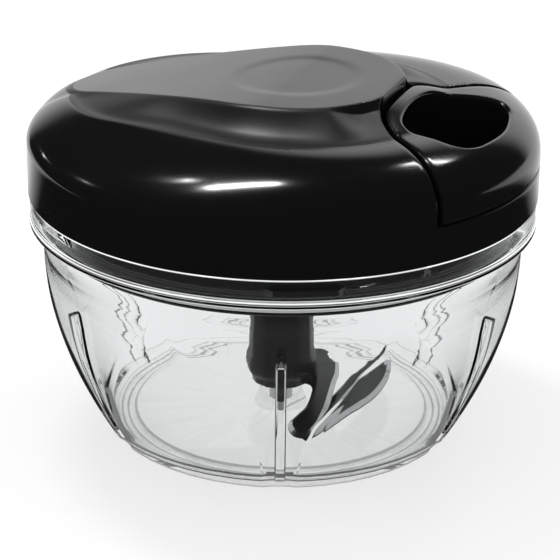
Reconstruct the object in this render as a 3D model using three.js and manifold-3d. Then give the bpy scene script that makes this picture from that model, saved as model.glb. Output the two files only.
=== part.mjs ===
// Manual food chopper with a pull cord: a fluted clear bowl, a domed lid with a nested pull handle,
// a cord reel with a recoil spring under the lid, and a hub with three curved blades on a steel pin.
// Millimetres, +Z up. The origin is the centre of the bowl's flat underside, and the handle pulls
// along +X.

import * as THREE from 'three';
import { mergeVertices } from 'three/addons/utils/BufferGeometryUtils.js';
import Module from 'manifold-3d';

const wasm = await Module();
wasm.setup();

// Clearances and facets
const FIT = 0.3;
const RUNNING_GAP = 0.4;
const CUT = 4;
const ROUND_SIDES = 20;
const SMALL_SIDES = 12;
const RING_SIDES = 48;
const MIDDLE_SIDES = 32;
const LID_COLUMNS = 72;

// Bowl
const BOWL_BASE_RADIUS = 44.4;
const BOWL_WALL_HEIGHT = 54.6;
const BOWL_WALL = 2.2;
const BOWL_BULGE_SHARE = 2.144;
const BOWL_FOOT_BEVEL = 0.8;
const BOWL_FLOOR = 3.2;
const FLOOR_RING_RADIUS = 37.5;
const FLOOR_RING_DROP = 0.8;
const FLOOR_RING_STEP = 0.7;
const FLOOR_EDGE_RADIUS = 41.2;
const FLOOR_CORNER = 1.8;
const COLLAR_RADIUS = 63.5;
const COLLAR_WALL = 2.1;
const COLLAR_OVERHANG = 3.2;
const COLLAR_TOP = 62.3;
const COLLAR_LEDGE = 1.2;
const BEAD_RISE = 0.6;
const BEAD_STEP = 1.8;
const COLLAR_DRAFT = 0.3;

// Bowl flutes, one every sixty degrees, each with a thin rib down its middle
const FLUTE_COUNT = 6;
const FLUTE_TURN_DEG = -10;
const FLUTE_DEPTH = 2.6;
const RIB_WIDTH = 2.5;
const RIB_SIDE = 0.3;
const RIB_BOTTOM = 2.7;
const RIB_TOP = 39.5;
const FLUTE_HEIGHT_SHARES = [0, 0.22, 0.385, 0.513, 0.641, 0.733, 0.842, 0.916, 1];
const FLUTE_HALF_DEG = [4.9, 6, 8.9, 14, 18.5, 24.5, 28.5, 28.5, 28.5];
const FLUTE_DEPTH_SHARES = [0.23, 0.385, 0.577, 0.77, 1, 1, 0.615, 0, 0];
const OUTER_ROW_SHARES = [0.13, 0.22, 0.3, 0.385, 0.45, 0.513, 0.577, 0.65];
const UPPER_ROW_SHARES = [0.77, 0.842, 0.916];
const INNER_ROW_SHARES = [0.916, 0.842, 0.75, 0.641, 0.55, 0.45, 0.34, 0.22, 0.1];
const FLUTE_COLUMN_SHARES = [0.5, 1];
const EVEN_START_SHARE = 0.842;

// Bayonet between bowl and lid
const LUG_COUNT = 4;
const LUG_ARC_DEG = 16;
const LUG_STEPS = 4;
const BOWL_LUG_TURN_DEG = 45;
const LID_LUG_TURN_DEG = 25;
const BOWL_LUG_REACH = 1.6;
const BOWL_LUG_TOP = 61.5;
const BOWL_LUG_HEIGHT = 1.8;
const LID_LUG_HEIGHT = 2;
const LUG_GAP = 0.5;
const LUG_ROOT = 0.6;

// Pivot boss and pin
const BOSS_FOOT_RADIUS = 6.2;
const BOSS_RADIUS = 4.5;
const BOSS_TOP = 8.6;
const PIN_RADIUS = 1.6;
const PIN_SEAT = 4;
const PIN_LENGTH = 21.7;
const PIN_TIP = 0.8;

// Lid cover
const LID_WALL = 2;
const LID_ROOF = 2.2;
const SHOULDER_HEIGHT = 10.9;
const SHOULDER_TAIL_RISE = 2.4;
const SHOULDER_TAIL_START_DEG = 100;
const SHOULDER_TAIL_END_DEG = 160;
const SHOULDER_NOSE_POWER_SHARE = 0.84;
const SHOULDER_TAIL_POWER_SHARE = 1.24;
const SHOULDER_NOSE_START_DEG = 40;
const SHOULDER_NOSE_END_DEG = 100;
const CREASE_RADIUS = 38.3;
const CREASE_NOSE_MARGIN = 19.7;
const CREASE_TAIL_RADIUS = 31.2;
const CREASE_TAIL_MARGIN = 8.6;
const CREASE_RISE = 12.4;
const CREASE_FALL = 3;
const CREASE_DRAW = 1.55;
const CREASE_LEDGE = 1.8;
const CREASE_LIP = 1;
const SHOULDER_SHARES = [0.16, 0.34, 0.52, 0.7, 0.86];
const CAVITY_SHOULDER_SHARES = [0.34, 0.68];
const PLATEAU_CENTRE_X = 3.3;
const PLATEAU_RADIUS = 26.5;
const PLATEAU_TAIL_MARGIN = 7.3;
const PLATEAU_TAIL_RADIUS = 11.5;
const PLATEAU_RISE = 5.6;
const PLATEAU_FALL = 9;
const PLATEAU_FALL_POWER_SHARE = 1.45;
const PLATEAU_ROW_SHARES = [0.35, 0.7];
const DISH_RADIUS = 14.5;
const DISH_DEPTH = 0.5;
const DISH_SLOPE = 1.2;
const BAND_STEP = 0.9;
const BAND_DROP = 2.3;
const BAND_START_DEG = 42;
const BAND_END_DEG = 70;
const BAND_MID_SHARE = 0.5;

// Handle recess in the lid cover
const RECESS_FLOOR = 71.5;
const RECESS_NOSE_X = 28.5;
const RECESS_NOSE_HALF = 9;
const RECESS_FLANK_X = 14;
const RECESS_CORNER = 5.5;
const RECESS_WALL = 1.6;
const RECESS_BED = 1.8;
const GROOVE = 1.3;
const CORNER_STEPS = 5;

// Pull handle
const FINGER_START_MARGIN = 4.7;
const FINGER_END_MARGIN = 7.5;
const FINGER_HALF_WIDTH = 18;
const FINGER_SHARES = [
  [0, 0], [0.01, 0.32], [0.04, 0.58], [0.09, 0.73], [0.17, 0.82], [0.3, 0.88], [0.44, 0.93],
  [0.56, 0.98], [0.66, 1], [0.76, 0.97], [0.84, 0.88], [0.91, 0.7], [0.96, 0.45], [0.99, 0.21], [1, 0],
];

// Cord, eyelet and knot
const CORD_RADIUS = 1;
const CORD_HEIGHT = 77;
const CORD_SIDES = 8;
const CORD_STEPS = 12;
const EYELET_BORE = 1.5;
const EYELET_TUBE = 2.4;
const EYELET_FLANGE = 3.8;
const EYELET_FLANGE_WALL = 0.6;
const KNOT_RADIUS = 2.2;
const KNOT_LENGTH = 1.7;
const KNOT_POCKET_DEPTH = 2.2;

// Cord reel
const REEL_CORE_RADIUS = 13;
const REEL_FLANGE_RADIUS = 21.5;
const REEL_HALF_HEIGHT = 4.2;
const REEL_FLANGE_WALL = 1.2;
const WINDING_RADIUS = 17.2;
const REEL_NECK_RADIUS = 7;
const REEL_NECK_FOOT = 57.4;
const REEL_ARBOR_RADIUS = 4.2;
const ARBOR_LENGTH = 3.6;
const AXLE_RADIUS = 1.9;
const AXLE_LENGTH = 15.5;
const AXLE_BOSS_RADIUS = 4.6;

// Recoil spring and its cup
const CUP_RADIUS = 19;
const CUP_WALL = 1.1;
const CUP_FLOOR = 0.9;
const CUP_LENGTH = 3.8;
const CUP_COVER_WALL = 0.8;
const CUP_COVER_BORE = 3.2;
const CUP_RING_WALL = 1.5;
const SPRING_STRIP = 0.5;
const SPRING_TURNS = 5;
const SPRING_STEPS = 20;

// Lid base
const PLATE_BOTTOM = 51;
const PLATE_WALL = 2.2;
const PLATE_BORE = 5.2;
const BASE_SKIRT_GAP = 4.1;
const BASE_COLLAR_GAP = 2.1;
const BASE_WALL = 1.7;
const BASE_CHAMFER = 1;
const SEAL_SLOT_DEPTH = 1.1;
const SEAL_SLOT_HEIGHT = 2;
const SEAL_SLOT_RISE = 1;
const BASE_STEP_Z = 56.4;
const BASE_FLANGE_WALL = 1.5;

// Lid screws and their posts
const SCREW_COUNT = 4;
const SCREW_TURN_DEG = 60;
const SCREW_SPACING_DEG = 80;
const SCREW_MARGIN = 14.3;
const SCREW_SHANK = 1.3;
const SCREW_LENGTH = 10;
const SCREW_HEAD_RADIUS = 2.8;
const SCREW_HEAD = 1.1;
const POST_RADIUS = 3.6;

// Drive shaft and its bush
const SHAFT_CORNER = 3.1;
const SHAFT_BOTTOM = 44.8;
const SHAFT_TOP = 70;
const SHAFT_COLLAR_RADIUS = 6.4;
const SHAFT_COLLAR = 1;
const SHAFT_SIDES = 6;
const BUSH_WALL = 1.4;

// Blade hub
const HUB_SIDES = 12;
const HUB_BOTTOM = 9.4;
const HUB_TOP = 50.6;
const HUB_FOOT_RADIUS = 7.2;
const HUB_COLLAR_RADIUS = 8.9;
const HUB_COLLAR_Z = 15.2;
const HUB_COLLAR_HEIGHT = 3.4;
const HUB_RADIUS = 8.2;
const HUB_FOOT_RISE = 2;
const HUB_BORE = 2;
const HUB_BORE_TOP = 26.6;
const SOCKET_CORNER = 4;
const PIVOT_BUSH_WALL = 1.2;
const PIVOT_BUSH_HEIGHT = 4;

// Blades, each outline drawn in shares of its reach from the pin, in the hub's own frame
const BLADE_TURN_DEG = 20;
const BLADE_WALL = 1.1;
const BLADE_EDGE = 0.35;
const MIDDLE_BLADE_REACH = 42;
const MIDDLE_BLADE_Z = 13;
const LOWER_BLADE_REACH = 37;
const LOWER_BLADE_Z = 9.9;
const UPPER_BLADE_REACH = 40;
const UPPER_BLADE_Z = 38;
const UPPER_BLADE_TURN_DEG = 170;
const SICKLE_SHARES = [
  [0.075, 0.098], [0.18, 0.222], [0.28, 0.218], [0.336, 0.09], [0.346, -0.09], [0.32, -0.295],
  [0.278, -0.562], [0.235, -0.752], [0.195, -0.91], [0.142, -0.985], [0.08, -0.97], [0.045, -0.885],
  [0.05, -0.8], [0.092, -0.702], [0.15, -0.564], [0.18, -0.398], [0.19, -0.226], [0.18, -0.1],
  [0.122, -0.03],
];
const CRESCENT_SHARES = [
  [0.088, -0.098], [0.19, -0.14], [0.21, -0.257], [0.189, -0.419], [0.151, -0.595], [0.124, -0.757],
  [0.124, -0.905], [0.159, -0.982], [0.227, -0.957], [0.338, -0.789], [0.449, -0.616], [0.551, -0.476],
  [0.649, -0.314], [0.73, -0.108], [0.773, 0.108], [0.789, 0.34], [0.778, 0.486], [0.741, 0.549],
  [0.657, 0.395], [0.557, 0.17], [0.416, -0.151], [0.33, -0.341], [0.297, -0.357], [0.303, -0.216],
  [0.276, -0.068], [0.222, 0.043], [0.13, 0.018],
];

// Radii and places that follow from the collar's radius
const COLLAR_BORE = COLLAR_RADIUS - COLLAR_WALL;
const BOWL_MOUTH_RADIUS = COLLAR_RADIUS - COLLAR_OVERHANG;
const LID_RADIUS = COLLAR_RADIUS;
const CREASE_NOSE_X = LID_RADIUS - CREASE_NOSE_MARGIN - CREASE_RADIUS;
const CREASE_TAIL_X = CREASE_TAIL_RADIUS + CREASE_TAIL_MARGIN - LID_RADIUS;
const PLATEAU_TAIL_X = PLATEAU_TAIL_RADIUS + PLATEAU_TAIL_MARGIN - LID_RADIUS;
const FINGER_START_X = RECESS_NOSE_X + FINGER_START_MARGIN;
const FINGER_LENGTH = LID_RADIUS - FINGER_END_MARGIN - FINGER_START_X;
const BASE_SKIRT_RADIUS = COLLAR_BORE - BASE_SKIRT_GAP;
const BASE_COLLAR_RADIUS = COLLAR_BORE - BASE_COLLAR_GAP;
const BASE_FLANGE_RADIUS = LID_RADIUS - LID_WALL - RUNNING_GAP;
const SCREW_CIRCLE = BASE_SKIRT_RADIUS - SCREW_MARGIN;

// Heights that follow from the sizes above
const LID_BOTTOM = COLLAR_TOP + FIT;
const SHOULDER_Z = LID_BOTTOM + SHOULDER_HEIGHT;
const CREASE_Z = SHOULDER_Z + CREASE_RISE;
const LID_TOP = CREASE_Z + PLATEAU_RISE;
const PLATEAU_RUN = PLATEAU_CENTRE_X - PLATEAU_TAIL_X + PLATEAU_TAIL_RADIUS;
const PLATE_TOP = PLATE_BOTTOM + PLATE_WALL;
const REEL_TOP = CORD_HEIGHT + REEL_HALF_HEIGHT;
const REEL_BOTTOM = CORD_HEIGHT - REEL_HALF_HEIGHT;
const CUP_BOTTOM = REEL_TOP + FIT;
const CUP_TOP = CUP_BOTTOM + CUP_LENGTH;
const CUP_COVER_TOP = CUP_TOP + CUP_COVER_WALL;
const DISH_Z = LID_TOP - DISH_DEPTH;

// Plain colours and finishes
function finish(color, roughness, metalness) {
  return new THREE.MeshStandardMaterial({ color, roughness, metalness });
}

function clearPlastic() {
  const material = finish(0xe9edef, 0.04, 0);
  material.transparent = true;
  material.opacity = 0.3;
  return material;
}

function glossBlack() {
  return finish(0x0b0b0c, 0.12, 0);
}

function satinBlack() {
  return finish(0x161617, 0.45, 0);
}

function hubBlack() {
  return finish(0x1d1d1f, 0.35, 0);
}

function polishedSteel() {
  return finish(0xc9cccf, 0.16, 1);
}

function springSteel() {
  return finish(0x8d9296, 0.35, 1);
}

function whiteNylon() {
  return finish(0xe4e2dc, 0.5, 0);
}

function greySilicone() {
  return finish(0xb9bcbd, 0.7, 0);
}

function cordBlack() {
  return finish(0x202022, 0.9, 0);
}

// Small helpers
function radians(degrees) {
  return THREE.MathUtils.degToRad(degrees);
}

function blend(share) {
  const x = THREE.MathUtils.clamp(share, 0, 1);
  return x * x * (3 - 2 * x);
}

function tableValue(positions, values, position) {
  for (let i = 1; i < positions.length; i += 1) {
    if (position <= positions[i]) {
      const share = (position - positions[i - 1]) / (positions[i] - positions[i - 1]);
      return THREE.MathUtils.lerp(values[i - 1], values[i], THREE.MathUtils.clamp(share, 0, 1));
    }
  }
  return values[values.length - 1];
}

// Closed geometry from rings of equal count, each end closed by a fan to its middle
function loft(rings) {
  const positions = [];
  const index = [];
  const count = rings[0].length;
  for (const ring of rings) {
    for (const point of ring) {
      positions.push(point.x, point.y, point.z);
    }
  }
  for (let r = 0; r + 1 < rings.length; r += 1) {
    for (let c = 0; c < count; c += 1) {
      const a = r * count + c;
      const b = r * count + ((c + 1) % count);
      index.push(a, b, a + count, b, b + count, a + count);
    }
  }
  for (const [ring, first] of [[rings[0], 0], [rings[rings.length - 1], (rings.length - 1) * count]]) {
    const middle = new THREE.Vector3();
    ring.forEach((point) => middle.addScaledVector(point, 1 / count));
    const hub = positions.length / 3;
    positions.push(middle.x, middle.y, middle.z);
    for (let c = 0; c < count; c += 1) {
      const a = first + c;
      const b = first + ((c + 1) % count);
      if (first === 0) {
        index.push(b, a, hub);
      } else {
        index.push(a, b, hub);
      }
    }
  }
  const geometry = new THREE.BufferGeometry();
  geometry.setAttribute('position', new THREE.Float32BufferAttribute(positions, 3));
  geometry.setIndex(index);
  return geometry;
}

// Solid of a closed geometry, and back
function solid(geometry) {
  const bare = geometry.clone();
  bare.deleteAttribute('normal');
  bare.deleteAttribute('uv');
  const merged = mergeVertices(bare);
  return new wasm.Manifold(new wasm.Mesh({
    numProp: 3,
    vertProperties: new Float32Array(merged.attributes.position.array),
    triVerts: new Uint32Array(merged.index.array),
  }));
}

function geometryOf(body) {
  const result = body.getMesh();
  const geometry = new THREE.BufferGeometry();
  geometry.setAttribute('position', new THREE.Float32BufferAttribute(result.vertProperties, 3));
  geometry.setIndex(Array.from(result.triVerts));
  return geometry;
}

function part(name, geometry, material) {
  const mesh = new THREE.Mesh(geometry, material);
  mesh.name = name;
  return mesh;
}

// Turned solid about Z from radius and height pairs
function turned(pairs, sides = ROUND_SIDES) {
  const points = pairs.map(([r, z]) => new THREE.Vector2(r, z));
  const geometry = new THREE.LatheGeometry(points, sides);
  return geometry.rotateX(Math.PI / 2);
}

// Turned ring whose outline closes on itself
function turnedRing(pairs, sides = ROUND_SIDES) {
  return turned([...pairs, pairs[0]], sides);
}

// Turned solid that lies along X, from distance and radius pairs
function turnedAlongX(pairs, z, sides = SMALL_SIDES) {
  const points = pairs.map(([x, r]) => new THREE.Vector2(r, x));
  const geometry = new THREE.LatheGeometry(points, sides);
  return geometry.rotateZ(-Math.PI / 2).translate(0, 0, z);
}

// Straight prism over a plan outline
function prism(outline, bottom, top) {
  const shape = new THREE.Shape(outline);
  const geometry = new THREE.ExtrudeGeometry(shape, { depth: top - bottom, bevelEnabled: false });
  return geometry.translate(0, 0, bottom);
}

// Outline moved outwards by a distance, counter-clockwise outlines only
function grown(outline, distance) {
  return outline.map((point, i) => {
    const before = outline[(i + outline.length - 1) % outline.length];
    const after = outline[(i + 1) % outline.length];
    const inward = point.clone().sub(before).normalize();
    const outward = after.clone().sub(point).normalize();
    const normal = new THREE.Vector2(inward.y + outward.y, -inward.x - outward.x).normalize();
    const spread = Math.max(normal.x * inward.y - normal.y * inward.x, 1 / 2);
    return point.clone().addScaledVector(normal, distance / spread);
  });
}

// Bowl wall radius at a height
function bowlRadius(z) {
  const t = z / BOWL_WALL_HEIGHT;
  const rise = BOWL_BULGE_SHARE * t + (1 - BOWL_BULGE_SHARE) * t * t;
  return BOWL_BASE_RADIUS + (BOWL_MOUTH_RADIUS - BOWL_BASE_RADIUS) * rise;
}

// Plan angles of the bowl's columns: they follow the flutes and even out towards the round mouth
function bowlColumns(z) {
  const radius = bowlRadius(z);
  const half = radians(tableValue(FLUTE_HEIGHT_SHARES, FLUTE_HALF_DEG, z / BOWL_WALL_HEIGHT));
  const edge = Math.PI / FLUTE_COUNT;
  const ribTop = (RIB_WIDTH / 2 - RIB_SIDE) / radius;
  const ribFoot = RIB_WIDTH / 2 / radius;
  const side = [{ angle: ribTop, rib: true }, { angle: ribFoot, rib: false }];
  for (const share of FLUTE_COLUMN_SHARES) {
    side.push({ angle: ribFoot + (half - ribFoot) * share, rib: false });
  }
  side.push({ angle: (half + edge) / 2, rib: false });
  const mirrored = side.map((entry) => ({ angle: -entry.angle, rib: entry.rib })).reverse();
  const sector = [{ angle: -edge, rib: false }, ...mirrored, { angle: 0, rib: true }, ...side];
  const evening = blend((z / BOWL_WALL_HEIGHT - EVEN_START_SHARE) / (1 - EVEN_START_SHARE));
  const columns = [];
  for (let k = 0; k < FLUTE_COUNT; k += 1) {
    const middle = radians(FLUTE_TURN_DEG) + (k * 2 * Math.PI) / FLUTE_COUNT;
    sector.forEach((entry, j) => {
      const even = edge * ((2 * j) / sector.length - 1);
      const plan = middle + THREE.MathUtils.lerp(entry.angle, even, evening);
      columns.push({ plan, share: Math.abs(entry.angle) / half, rib: entry.rib });
    });
  }
  return columns;
}

// Ring of the bowl's outer or inner wall at a height
function wallRing(z, inset, ribbed) {
  const radius = bowlRadius(z);
  const depthShare = tableValue(FLUTE_HEIGHT_SHARES, FLUTE_DEPTH_SHARES, z / BOWL_WALL_HEIGHT);
  const depth = FLUTE_DEPTH * depthShare;
  return bowlColumns(z).map((column) => {
    const hollow = column.share < 1 ? depth * (1 - column.share * column.share) : 0;
    const r = (ribbed && column.rib ? radius : radius - hollow) - inset;
    return new THREE.Vector3(r * Math.cos(column.plan), r * Math.sin(column.plan), z);
  });
}

// Round ring on the bowl's columns
function roundRing(radius, z, columnHeight) {
  return bowlColumns(columnHeight).map((column) => new THREE.Vector3(
    radius * Math.cos(column.plan), radius * Math.sin(column.plan), z));
}

function bowlShell() {
  const top = BOWL_WALL_HEIGHT;
  const rings = [];
  const foot = wallRing(0, BOWL_FOOT_BEVEL, false);
  rings.push(foot);
  rings.push(wallRing(BOWL_FOOT_BEVEL, 0, false));
  rings.push(wallRing(RIB_BOTTOM, 0, false));
  rings.push(wallRing(RIB_BOTTOM + RIB_SIDE, 0, true));
  OUTER_ROW_SHARES.forEach((share) => rings.push(wallRing(share * top, 0, true)));
  rings.push(wallRing(RIB_TOP - RIB_SIDE, 0, true));
  rings.push(wallRing(RIB_TOP + RIB_SIDE, 0, false));
  UPPER_ROW_SHARES.forEach((share) => rings.push(wallRing(share * top, 0, false)));
  rings.push(roundRing(BOWL_MOUTH_RADIUS, top, top));
  rings.push(roundRing(COLLAR_RADIUS - COLLAR_DRAFT - BEAD_RISE, top + BEAD_RISE, top));
  rings.push(roundRing(COLLAR_RADIUS - COLLAR_DRAFT, top + BEAD_STEP, top));
  rings.push(roundRing(COLLAR_RADIUS, COLLAR_TOP, top));
  rings.push(roundRing(COLLAR_BORE, COLLAR_TOP, top));
  rings.push(roundRing(COLLAR_BORE, top + COLLAR_LEDGE, top));
  rings.push(roundRing(BOWL_MOUTH_RADIUS - BOWL_WALL, top, top));
  INNER_ROW_SHARES.forEach((share) => rings.push(wallRing(share * top, BOWL_WALL, false)));
  const groove = BOWL_FLOOR - FLOOR_RING_DROP;
  rings.push(roundRing(FLOOR_EDGE_RADIUS + FLOOR_CORNER, groove + FLOOR_CORNER / 2, 0));
  rings.push(roundRing(FLOOR_EDGE_RADIUS, groove, 0));
  rings.push(roundRing(FLOOR_RING_RADIUS + FLOOR_RING_STEP, groove, 0));
  rings.push(roundRing(FLOOR_RING_RADIUS, BOWL_FLOOR, 0));
  return solid(loft(rings));
}

// Part ring that stands on a cylinder, such as a bayonet lug
function arcBlock(inner, outer, bottom, top, middleDeg) {
  const outline = [];
  const half = radians(LUG_ARC_DEG) / 2;
  for (let i = 0; i <= LUG_STEPS; i += 1) {
    const angle = radians(middleDeg) - half + (2 * half * i) / LUG_STEPS;
    outline.push(new THREE.Vector2(outer * Math.cos(angle), outer * Math.sin(angle)));
  }
  for (let i = LUG_STEPS; i >= 0; i -= 1) {
    const angle = radians(middleDeg) - half + (2 * half * i) / LUG_STEPS;
    outline.push(new THREE.Vector2(inner * Math.cos(angle), inner * Math.sin(angle)));
  }
  return solid(prism(outline, bottom, top));
}

function bowl() {
  let body = bowlShell();
  const boss = turned([
    [0, BOWL_FLOOR - FLOOR_RING_DROP], [BOSS_FOOT_RADIUS, BOWL_FLOOR - FLOOR_RING_DROP],
    [BOSS_FOOT_RADIUS, BOWL_FLOOR], [BOSS_RADIUS, BOSS_TOP], [0, BOSS_TOP],
  ], ROUND_SIDES);
  body = body.add(solid(boss));
  const bore = turned([
    [0, PIN_SEAT], [PIN_RADIUS + FIT, PIN_SEAT], [PIN_RADIUS + FIT, BOSS_TOP + CUT], [0, BOSS_TOP + CUT],
  ], SMALL_SIDES);
  body = body.subtract(solid(bore));
  const lugBottom = BOWL_LUG_TOP - BOWL_LUG_HEIGHT;
  for (let k = 0; k < LUG_COUNT; k += 1) {
    const middle = BOWL_LUG_TURN_DEG + (k * 360) / LUG_COUNT;
    const inner = COLLAR_BORE - BOWL_LUG_REACH;
    body = body.add(arcBlock(inner, COLLAR_BORE + LUG_ROOT, lugBottom, BOWL_LUG_TOP, middle));
  }
  return part('bowl', geometryOf(body), clearPlastic());
}

function pivotPin() {
  const bottom = PIN_SEAT + FIT;
  const top = bottom + PIN_LENGTH;
  const geometry = turned([
    [0, bottom], [PIN_RADIUS, bottom], [PIN_RADIUS, top - PIN_TIP], [PIN_RADIUS / 2, top], [0, top],
  ], SMALL_SIDES);
  return part('pivot_pin', geometry, polishedSteel());
}

// Distance from the axis to a teardrop's edge: two circles on X and the lines that touch both
function teardropEdge(plan, noseX, noseRadius, tailX, tailRadius) {
  const dx = Math.cos(plan);
  const dy = Math.abs(Math.sin(plan));
  const lean = (noseRadius - tailRadius) / (noseX - tailX);
  const normal = new THREE.Vector2(-lean, Math.sqrt(1 - lean * lean));
  const slant = normal.x * dx + normal.y * dy;
  if (slant > 0) {
    const onLine = (normal.x * noseX + noseRadius) / slant;
    const x = onLine * dx;
    if (x < tailX + normal.x * tailRadius) {
      return circleEdge(plan, tailX, tailRadius);
    }
    if (x < noseX + normal.x * noseRadius) {
      return onLine;
    }
  }
  return circleEdge(plan, noseX, noseRadius);
}

function plateauEdge(plan) {
  return teardropEdge(plan, PLATEAU_CENTRE_X, PLATEAU_RADIUS, PLATEAU_TAIL_X, PLATEAU_TAIL_RADIUS);
}

// The crease keeps outside the plateau's edge
function creaseEdge(plan) {
  const teardrop = teardropEdge(plan, CREASE_NOSE_X, CREASE_RADIUS, CREASE_TAIL_X, CREASE_TAIL_RADIUS);
  return Math.max(teardrop, plateauEdge(plan) + CREASE_LEDGE);
}

// Distance from the axis to a circle centred on X that holds the ray's far end
function circleEdge(plan, centreX, radius) {
  const along = centreX * Math.cos(plan);
  const across = centreX * Math.sin(plan);
  return along + Math.sqrt(Math.max(radius * radius - across * across, 0));
}

// How far the lid's top has fallen at a distance along X: none at the nose, all at the tail
function tailFall(x) {
  const share = THREE.MathUtils.clamp((PLATEAU_CENTRE_X - x) / PLATEAU_RUN, 0, 1);
  return share ** PLATEAU_FALL_POWER_SHARE;
}

function plateauHeight(x) {
  return LID_TOP - PLATEAU_FALL * tailFall(x);
}

// Section of the lid's outside, or of its hollow, from the rim to the middle at a plan angle
function lidSection(plan, hollow) {
  const away = Math.abs(THREE.MathUtils.radToDeg(Math.atan2(Math.sin(plan), Math.cos(plan))));
  const roof = hollow ? LID_ROOF : 0;
  const wall = hollow ? LID_WALL : 0;
  const edge = LID_RADIUS - wall;
  const crease = creaseEdge(plan) - (hollow ? CREASE_DRAW : 0);
  const plateau = plateauEdge(plan);
  const plateauZ = plateauHeight(plateau * Math.cos(plan)) - roof;
  const fallen = CREASE_Z - CREASE_FALL * tailFall(crease * Math.cos(plan)) - roof;
  const creaseZ = Math.min(fallen, plateauZ - CREASE_LIP);
  const tail = blend((away - SHOULDER_TAIL_START_DEG) / (SHOULDER_TAIL_END_DEG - SHOULDER_TAIL_START_DEG));
  const shoulderZ = SHOULDER_Z + SHOULDER_TAIL_RISE * tail;
  const rear = blend((away - SHOULDER_NOSE_START_DEG) / (SHOULDER_NOSE_END_DEG - SHOULDER_NOSE_START_DEG));
  const power = THREE.MathUtils.lerp(SHOULDER_NOSE_POWER_SHARE, SHOULDER_TAIL_POWER_SHARE, rear);
  const foot = plateau + (hollow ? 0 : BAND_STEP);
  const lineShare = BAND_STEP / Math.max(crease - plateau, BAND_STEP);
  const lineZ = THREE.MathUtils.lerp(plateauZ, creaseZ, lineShare);
  const nose = 1 - blend((away - BAND_START_DEG) / (BAND_END_DEG - BAND_START_DEG));
  const stepZ = THREE.MathUtils.lerp(lineZ, LID_TOP - BAND_DROP - roof, nose);
  const rows = [[edge, hollow ? PLATE_BOTTOM : LID_BOTTOM], [edge, shoulderZ]];
  for (const share of hollow ? CAVITY_SHOULDER_SHARES : SHOULDER_SHARES) {
    const turn = (share * Math.PI) / 2;
    const out = Math.cos(turn) ** power;
    const up = Math.sin(turn) ** power;
    rows.push([crease + (edge - crease) * out, shoulderZ + (creaseZ - shoulderZ) * up]);
  }
  rows.push([crease, creaseZ]);
  const midR = THREE.MathUtils.lerp(crease, foot, BAND_MID_SHARE);
  rows.push([midR, THREE.MathUtils.lerp(creaseZ, stepZ, BAND_MID_SHARE)]);
  if (!hollow) {
    rows.push([foot, stepZ]);
  }
  rows.push([plateau, plateauZ]);
  return rows;
}

// Ring on the plateau, part of the way in from its edge to the dish, lowered by a depth
function plateauRing(columns, dishEdge, share, depth) {
  return columns.map((plan) => {
    const r = THREE.MathUtils.lerp(plateauEdge(plan), circleEdge(plan, PLATEAU_CENTRE_X, dishEdge), share);
    const z = plateauHeight(r * Math.cos(plan)) - depth;
    return new THREE.Vector3(r * Math.cos(plan), r * Math.sin(plan), z);
  });
}

// Lid solid, or its hollow, as a stack of rings round the axis
function lidBody(hollow) {
  const sides = hollow ? LID_COLUMNS / 2 : LID_COLUMNS;
  const columns = [];
  for (let c = 0; c < sides; c += 1) {
    columns.push((c * 2 * Math.PI) / sides);
  }
  const sections = columns.map((plan) => lidSection(plan, hollow));
  const rings = [];
  sections[0].forEach((_, row) => {
    rings.push(columns.map((plan, c) => {
      const [r, z] = sections[c][row];
      return new THREE.Vector3(r * Math.cos(plan), r * Math.sin(plan), z);
    }));
  });
  const roof = hollow ? LID_ROOF : 0;
  const dishEdge = hollow ? DISH_RADIUS : DISH_RADIUS + DISH_SLOPE;
  for (const share of PLATEAU_ROW_SHARES) {
    rings.push(plateauRing(columns, dishEdge, share, roof));
  }
  if (!hollow) {
    rings.push(plateauRing(columns, dishEdge, 1, roof));
  }
  rings.push(plateauRing(columns, DISH_RADIUS, 1, roof + DISH_DEPTH));
  return solid(loft(rings));
}

// Plan outline of the handle recess, drawn in by a gap: flat nose, round corners, slanted flanks
function recessOutline(gap) {
  const noseX = RECESS_NOSE_X + gap;
  const flankX = RECESS_FLANK_X + gap * Math.SQRT2;
  const cornerY = noseX - flankX;
  const far = LID_RADIUS + CUT;
  const start = new THREE.Vector2(noseX, Math.min(RECESS_NOSE_HALF, cornerY - gap));
  const corner = new THREE.Vector2(noseX, cornerY);
  const end = new THREE.Vector2(noseX + RECESS_CORNER, cornerY + RECESS_CORNER);
  const curve = new THREE.QuadraticBezierCurve(start, corner, end);
  const half = [...curve.getPoints(CORNER_STEPS), new THREE.Vector2(far, far - flankX)];
  const mirrored = half.map((point) => new THREE.Vector2(point.x, -point.y)).reverse();
  return [...mirrored, ...half].reverse();
}

function screwPlaces() {
  const places = [];
  for (let k = 0; k < SCREW_COUNT; k += 1) {
    const plan = radians(SCREW_TURN_DEG + k * SCREW_SPACING_DEG);
    places.push(new THREE.Vector2(SCREW_CIRCLE * Math.cos(plan), SCREW_CIRCLE * Math.sin(plan)));
  }
  return places;
}

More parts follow.
